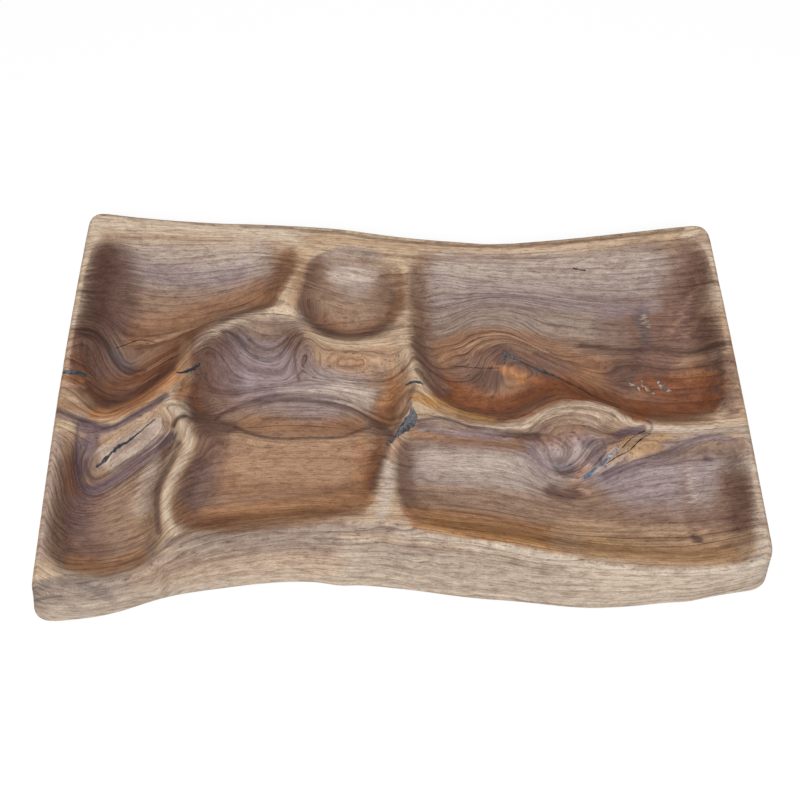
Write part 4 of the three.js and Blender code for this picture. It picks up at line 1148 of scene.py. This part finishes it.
def closeness(pixels, path, reach):
    """How close pixels come to a path: 1 on it and 0 from its reach outwards."""
    line = curve_through(path, STROKE_PIXELS)
    near = np.all((pixels > line.min(0) - reach) & (pixels < line.max(0) + reach), axis=1)
    places = pixels[near]
    least = np.full(len(places), float(reach))
    for start, end in zip(line, line[1:]):
        along = end - start
        share = np.clip((places - start) @ along / (along @ along), 0, 1)
        least = np.minimum(least, np.linalg.norm(places - start - share[:, None] * along, axis=1))
    found = np.zeros(len(pixels))
    found[near] = 1 - least / reach
    return found


def streaked(pixels, places, levels):
    """Pixels moved to and fro from one growth line to the next, so that what is painted there runs
    out along the grain."""
    scaled = [(x / STREAK_LENGTHS[0], level / STREAK_LENGTHS[1])
              for x, level in zip(places[:, 0].tolist(), levels.tolist())]
    moves = [[reach * noise.noise((*place, reach)) for place in scaled] for reach in STREAK_REACHES]
    return pixels + np.array(moves).T


def rounded(shares):
    """Shares kept between 0 and 1, with a smooth start and end."""
    kept = np.clip(shares, 0, 1)
    return kept * kept * (3 - 2 * kept)


def tones_with_painted_light(pixels, run_out, depths, facing_back):
    """The colour at each pixel: tan on the rims, brown in the hollows, and over that what the
    strokes leave, which is partly the wood's own colour and partly painted shade, painted
    highlights and painted reflections of gloss."""
    sunk = np.clip(depths / SUNK_DEPTH, 0, 1)[:, None]
    tones = (1 - sunk) * np.array(TONES["tan"]) + sunk * np.array(TONES["brown"])
    inside = rounded((depths - LIP_DEPTHS[0]) / (LIP_DEPTHS[1] - LIP_DEPTHS[0]))
    # some strokes paint shade, highlights and the grey haze of gloss into the colour
    for group, strokes in STROKES.items():
        seen = pixels if group == "crossings" else run_out
        share = (inside if group == "hollows" else 1) * ~facing_back
        for name, reach, strength, path in strokes:
            weight = strength * share * rounded(STROKE_FULLNESS * closeness(seen, path, reach))
            tones += weight[:, None] * (np.array(TONES[name]) - tones)
    return tones


def keep_shares(mesh, name, shares):
    """Give each point of a mesh a share that the material reads by its name."""
    mesh.attributes.new(name, "FLOAT", "POINT").data.foreach_set("value", shares)


def add_wood_data(board, slab, above, shifts):
    """Give each point of the board its place in the growth of the tree, and its colour, with the
    painted shade, highlights and reflections in it.
    """
    tree = KDTree(len(slab.vertices))
    for number, vertex in enumerate(slab.vertices):
        tree.insert(vertex.co, number)
    tree.balance()
    places = corners_of(board)
    found = [tree.find(place)[1:] for place in places]
    nearest = [index for index, distance in found]
    distances = np.array([distance for index, distance in found])
    levels = GrowthField().at(above[nearest]) + shifts[nearest]
    grain = board.attributes.new("grain", "FLOAT_VECTOR", "POINT")
    grain.data.foreach_set("vector", np.column_stack([places[:, 0], levels, places[:, 2]]).ravel())
    pixels = pixels_of(places)
    facing_back = shifts[nearest] > TOP_DEPTH
    depths = (thickness - places[:, 2]) * (shifts[nearest] == 0)
    tones = tones_with_painted_light(pixels, streaked(pixels, places, levels), depths, facing_back)
    keep_shares(board, "sheen", rounded(depths / SUNK_DEPTH))
    normals = np.empty(3 * len(places))
    board.vertices.foreach_get("normal", normals)
    tones *= 1 - END_GRAIN_SHARE * np.abs(normals[0::3])[:, None]
    tones = np.column_stack([tones, np.ones(len(places))])
    board.attributes.new("tone", "FLOAT_COLOR", "POINT").data.foreach_set("color", tones.ravel())
    darkness = np.where(distances > INSIDE_DISTANCE, INSIDE_DARKNESS, RIM_DARKNESS)
    darkness *= distances > HAIR
    for reach, strength, path in DARK_LINES:
        near = LINE_FULLNESS * closeness(pixels, path, LINE_FULLNESS * reach)
        darkness = np.maximum(darkness, strength * np.clip(near, 0, 1) * ~facing_back)
    keep_shares(board, "darkness", darkness)
    for name, (plain, areas) in SHOWINGS.items():
        shown = np.full(len(places), plain)
        for strength, reach, path in areas:
            shown += rounded(closeness(pixels, path, reach)) * (strength - shown)
        keep_shares(board, name, shown)


def crack_runs(name):
    """The runs of a crack in metres, each as rows of (x, y, half of the width)."""
    width, runs = CRACKS[name]
    scale = np.array([half_length, half_depth, width / 2])
    return [np.array(run) * scale for run in runs]


def ragged_outline(run, chance):
    """A closed ring of places round a run, with uneven edges and pointed ends."""
    line = curve_through(run, CRACK_SPACING)
    along = np.gradient(line[:, :2], axis=0)
    across = np.column_stack([-along[:, 1], along[:, 0]])
    across /= np.linalg.norm(across, axis=1, keepdims=True)
    sides = []
    for way in (1, -1):
        uneven = softened(chance.normal(size=len(line)), RAGGED_CELLS, 0, "edge")
        uneven *= min(RAGGEDNESS, RAGGED_SHARE * run[:, 2].max()) / uneven.std()
        reach = np.maximum(line[:, 2] + uneven, LEAST_SHARE * line[:, 2])
        sides.append(line[:, :2] + way * across * reach[:, None])
    start = line[0, :2] - along[0] * line[0, 2] / np.linalg.norm(along[0])
    end = line[-1, :2] + along[-1] * line[-1, 2] / np.linalg.norm(along[-1])
    return np.concatenate([[start], sides[1], [end], sides[0][::-1]])


def prism(name, outline, bottom):
    """A solid that stands on a level and reaches out of the top of the board."""
    count = len(outline)
    low = np.column_stack([outline, np.full(count, bottom)])
    high = np.column_stack([outline, np.full(count, thickness + ABOVE_TOP)])
    around = np.arange(count)
    after = np.roll(around, -1)
    walls = np.stack([around, after, after + count, around + count], 1).tolist()
    caps = [around[::-1].tolist(), (around + count).tolist()]
    mesh = bpy.data.meshes.new(name)
    mesh.from_pydata(np.concatenate([low, high]).tolist(), [], walls + caps)
    return mesh


def crack_prisms(name, chance):
    """The prisms that cut a crack, from a little below the carved surface to above the top."""
    found = []
    for run in crack_runs(name):
        heights = [carved_height(x, y) for x, y, _ in run if abs(x) < half_length]
        found.append(prism(name, ragged_outline(run, chance), min(heights) - FILL_DEPTH))
    return found


def hairline_prisms(chance):
    """The prisms that cut the hairline cracks."""
    found = []
    for half_width, path in HAIRLINES:
        line = on_board(path)
        run = np.column_stack([line, np.full(len(line), half_width)])
        bottom = min(carved_height(x, y) for x, y in line) - HAIRLINE_DEPTH
        found.append(prism("hairline", ragged_outline(run, chance), bottom))
    return found


def placed(name, data):
    """A new object in the scene."""
    found = bpy.data.objects.new(name, data)
    bpy.context.scene.collection.objects.link(found)
    return found


def combined(name, mesh, operations):
    """A new mesh from a closed one that is joined with, cut by or kept inside others."""
    body = placed(name, mesh)
    others = []
    for operation, other_mesh in operations:
        other = placed(name, other_mesh)
        modifier = body.modifiers.new(operation, "BOOLEAN")
        modifier.operation = operation
        modifier.solver = "MANIFOLD"
        modifier.object = other
        others.append(other)
    shaped = body.evaluated_get(bpy.context.evaluated_depsgraph_get())
    result = bpy.data.meshes.new_from_object(shaped)
    result.name = name
    for scratch in [body, *others]:
        bpy.data.objects.remove(scratch)
    return result


def add_piece(name, mesh, look, slot, *nodes):
    """An object of the board, smooth but for its sharp edges, that stands for CAD nodes."""
    mesh.materials.clear()
    mesh.materials.append(look)
    mesh.polygons.foreach_set("use_smooth", [True] * len(mesh.polygons))
    mesh.set_sharp_from_angle(angle=math.radians(SHARP_ANGLE))
    piece = placed(name, mesh)
    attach(piece, "root")
    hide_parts(*nodes)


def add_board():
    """The carved slab with its cracks cut out, and the resin that fills each of them."""
    slab, above, shifts = slab_mesh()
    chance = np.random.default_rng(SEED)
    looks = {look: resin_material(look) for look in RESINS}
    cuts = []
    for name in CRACKS:
        prisms = crack_prisms(name, chance)
        cuts.extend(("DIFFERENCE", mesh) for mesh in prisms)
        joins = [("UNION", mesh) for mesh in prisms[1:]]
        fill = combined(f"{name}_resin", prisms[0], [*joins, ("INTERSECT", slab)])
        look = looks[OTHER_RESINS.get(name, USUAL_RESIN)]
        add_piece(f"{name}_resin", fill, look, "dark_resin", name)
    cuts.extend(("DIFFERENCE", mesh) for mesh in hairline_prisms(chance))
    board = combined("carved_walnut_board", slab, cuts)
    add_wood_data(board, slab, above, shifts)
    add_piece("carved_walnut_board", board, walnut_material(), "walnut", "carved_board")


def add_camera():
    """The camera as fitted to the photograph."""
    data = bpy.data.cameras.new("camera")
    data.lens = LENS * MILLIMETRES
    data.sensor_width = SENSOR * MILLIMETRES
    camera = placed("camera", data)
    camera.location = CAMERA_PLACE
    camera.rotation_euler = (math.radians(CAMERA_PITCH), 0, math.radians(CAMERA_TURN))
    bpy.context.scene.camera = camera


# The sockets of a mix node that work on colours: the share and both colours, and the result
MIX_INPUTS = (0, 6, 7)
MIX_OUTPUT = 2


class Nodes:
    """Short ways to make and join the nodes of a material or of the world."""

    def __init__(self, tree):
        self.tree = tree

    def fill(self, sockets, values):
        """Give sockets values, or join them to other sockets."""
        for socket, value in zip(sockets, values):
            if isinstance(value, bpy.types.NodeSocket):
                self.tree.links.new(value, socket)
            else:
                socket.default_value = value

    def set(self, node, **values):
        """Give sockets of a node, by their names, values or join them to other sockets."""
        self.fill([node.inputs[name.replace("_", " ")] for name in values], values.values())

    def math(self, operation, *values):
        node = self.tree.nodes.new("ShaderNodeMath")
        node.operation = operation
        self.fill(node.inputs, values)
        return node.outputs[0]

    def attribute(self, name, output="Fac"):
        node = self.tree.nodes.new("ShaderNodeAttribute")
        node.attribute_name = name
        return node.outputs[output]

    def combine(self, *values):
        node = self.tree.nodes.new("ShaderNodeCombineXYZ")
        self.fill(node.inputs, values)
        return node.outputs[0]

    def noise(self, vector, detail=PLAIN_DETAIL, roughness=PLAIN_ROUGHNESS, scale=1.0):
        node = self.tree.nodes.new("ShaderNodeTexNoise")
        self.set(node, Vector=vector, Scale=scale, Detail=detail, Roughness=roughness)
        return node.outputs[0]

    def between(self, value, low, high, *results):
        """A value's share of the way from low to high, smoothly, or that far between results."""
        node = self.tree.nodes.new("ShaderNodeMapRange")
        node.interpolation_type = "SMOOTHSTEP"
        self.fill(node.inputs, (value, low, high, *results))
        return node.outputs[0]

    def blend(self, kind, share, first, second):
        """A colour mixed with another or multiplied by it, as far as a share says."""
        node = self.tree.nodes.new("ShaderNodeMix")
        node.data_type = "RGBA"
        node.blend_type = kind
        self.fill([node.inputs[index] for index in MIX_INPUTS], (share, first, second))
        return node.outputs[MIX_OUTPUT]

    def bump(self, height, distance):
        node = self.tree.nodes.new("ShaderNodeBump")
        self.set(node, Height=height, Distance=distance, Strength=1.0)
        return node.outputs[0]

    def whitened(self, plain, white, share, surface):
        """Join to a surface a plain shader for the light that falls from it, and as much as a
        share says of a white one where the camera sees it, also in gloss or through glass."""
        path = self.tree.nodes.new("ShaderNodeLightPath")
        seen = path.outputs["Is Camera Ray"]
        for way in ("Is Glossy Ray", "Is Transmission Ray"):
            seen = self.math("MAXIMUM", seen, path.outputs[way])
        mix = self.tree.nodes.new("ShaderNodeMixShader")
        self.fill(mix.inputs, (self.math("MULTIPLY", seen, share), plain.outputs[0],
                               white.outputs[0]))
        self.set(self.tree.nodes[surface], Surface=mix.outputs[0])


def new_material(name):
    """A material, its nodes and the one that makes its surface."""
    material = bpy.data.materials.new(name)
    material.use_nodes = True
    nodes = Nodes(material.node_tree)
    return material, nodes, nodes.tree.nodes["Principled BSDF"]


def add_floor():
    """A white floor that stays white where the camera sees it and keeps the board's shadow."""
    mesh = bpy.data.meshes.new("floor")
    corners = [(FLOOR_REACH * x, FLOOR_REACH * y, -HAIR) for x, y in FLOOR_CORNERS]
    mesh.from_pydata(corners, [], [(0, 1, 2, 3)])
    material, nodes, matt = new_material("white_floor")
    nodes.set(matt, Base_Color=FLOOR_COLOUR, Roughness=1, Specular_IOR_Level=0)
    glow = nodes.tree.nodes.new("ShaderNodeEmission")
    nodes.whitened(matt, glow, FLOOR_GLOW_SHARE, "Material Output")
    mesh.materials.append(material)
    floor = placed("floor", mesh)


def add_lights():
    """A soft light from above the viewer, a weaker one from behind, and a dim surround that
    shows as white."""
    world = bpy.data.worlds.new("surround")
    bpy.context.scene.world = world
    world.use_nodes = True
    nodes = Nodes(world.node_tree)
    dim = nodes.tree.nodes["Background"]
    white = nodes.tree.nodes.new("ShaderNodeBackground")
    for background, strength in ((dim, SURROUND_STRENGTH), (white, WHITE_STRENGTH)):
        nodes.set(background, Color=WHITE, Strength=strength)
    nodes.whitened(dim, white, 1, "World Output")
    for name, (place, size, power) in LIGHTS.items():
        data = bpy.data.lights.new(name, "AREA")
        data.shape = "RECTANGLE"
        data.size, data.size_y = size
        data.energy = power
        light = placed(name, data)
        light.location = place
        light.rotation_euler = (-Vector(place)).to_track_quat("-Z", "Y").to_euler()


def walnut_material():
    """Oiled walnut: growth rings on the growth level, and fibres and pores that run along it."""
    material, wood, surface = new_material("oiled_walnut")
    place = wood.tree.nodes.new("ShaderNodeSeparateXYZ")
    wood.set(place, Vector=wood.attribute("grain", "Vector"))
    along, level, _ = place.outputs

    def stretched(lengths):
        return wood.combine(*(wood.math("DIVIDE", value, length)
                              for value, length in zip(place.outputs, lengths)))

    sway = wood.math("SUBTRACT", wood.noise(stretched(SWAY_LENGTHS)), NOISE_MIDDLE)
    swayed = wood.math("MULTIPLY_ADD", sway, SWAY_REACH, level)
    crowd = wood.noise(stretched(CROWD_LENGTHS))

    def rings(spacing, crowding, sharpness, strengths):
        count = wood.math("MULTIPLY_ADD", crowd, crowding, wood.math("DIVIDE", swayed, spacing))
        late = wood.math("POWER", wood.math("FRACT", count), sharpness)
        year = wood.math("DIVIDE", wood.math("FLOOR", count), RING_STEP)
        change = wood.noise(wood.combine(wood.math("DIVIDE", along, RING_LENGTH), year, year))
        return wood.math("MULTIPLY", late, wood.between(change, *RING_RANGE, *strengths))

    noises = {}
    shares = {"darkness": wood.attribute("darkness")}
    for name, (lengths, detail, roughness, *limits) in MARKS.items():
        noises[name] = wood.noise(stretched(lengths), detail, roughness)
        shares[name] = wood.between(noises[name], *limits)
    figure = wood.attribute("figure")
    shares["ring"] = wood.math("MULTIPLY", rings(*YEAR_RINGS), figure)
    shares["fine"] = wood.math("MULTIPLY", rings(*FINE_RINGS), wood.attribute("lining"))
    shares["band"] = wood.math("MULTIPLY", shares["band"], figure)
    colour = wood.attribute("tone", "Color")
    for name, shade in SHADES.items():
        colour = wood.blend("MULTIPLY", shares[name], colour, shade)
    relief = wood.math("SUBTRACT", noises["fibre"], shares["pore"])
    rough = wood.between(noises["fibre"], *ROUGH_RANGE, *ROUGHNESSES)
    rough = wood.math("MULTIPLY_ADD", wood.attribute("sheen"), -SMOOTHED_BY, rough)
    wood.set(surface, Base_Color=colour, Normal=wood.bump(relief, RELIEF), Roughness=rough,
             Specular_IOR_Level=GLOSS)
    return material


def resin_material(name):
    """Casting resin with lumps and paler flecks, which are painted glints except in the steel blue
    resin.
    """
    dark, pale, share = RESINS[name]
    material, resin, surface = new_material(f"{name}_resin")
    place = resin.tree.nodes.new("ShaderNodeTexCoord").outputs["Object"]
    lumps = resin.noise(place, PLAIN_DETAIL, LUMP_ROUGHNESS, 1 / LUMP_LENGTH)
    # the pale flecks: painted glints, but a lighter tone in the steel blue resin
    fleck_and_glint = resin.between(lumps, *(limit - FLECK_AND_GLINT_SHIFT * share for limit in FLECK_AND_GLINT_RANGE))
    resin.set(surface, Base_Color=resin.blend("MIX", fleck_and_glint, dark, pale),
              Normal=resin.bump(lumps, LUMP_HEIGHT), Roughness=RESIN_ROUGHNESS,
              Specular_IOR_Level=RESIN_GLOSS)
    return material


bpy.context.scene.view_settings.view_transform = "Standard"
add_camera()
add_lights()
add_floor()
add_board()
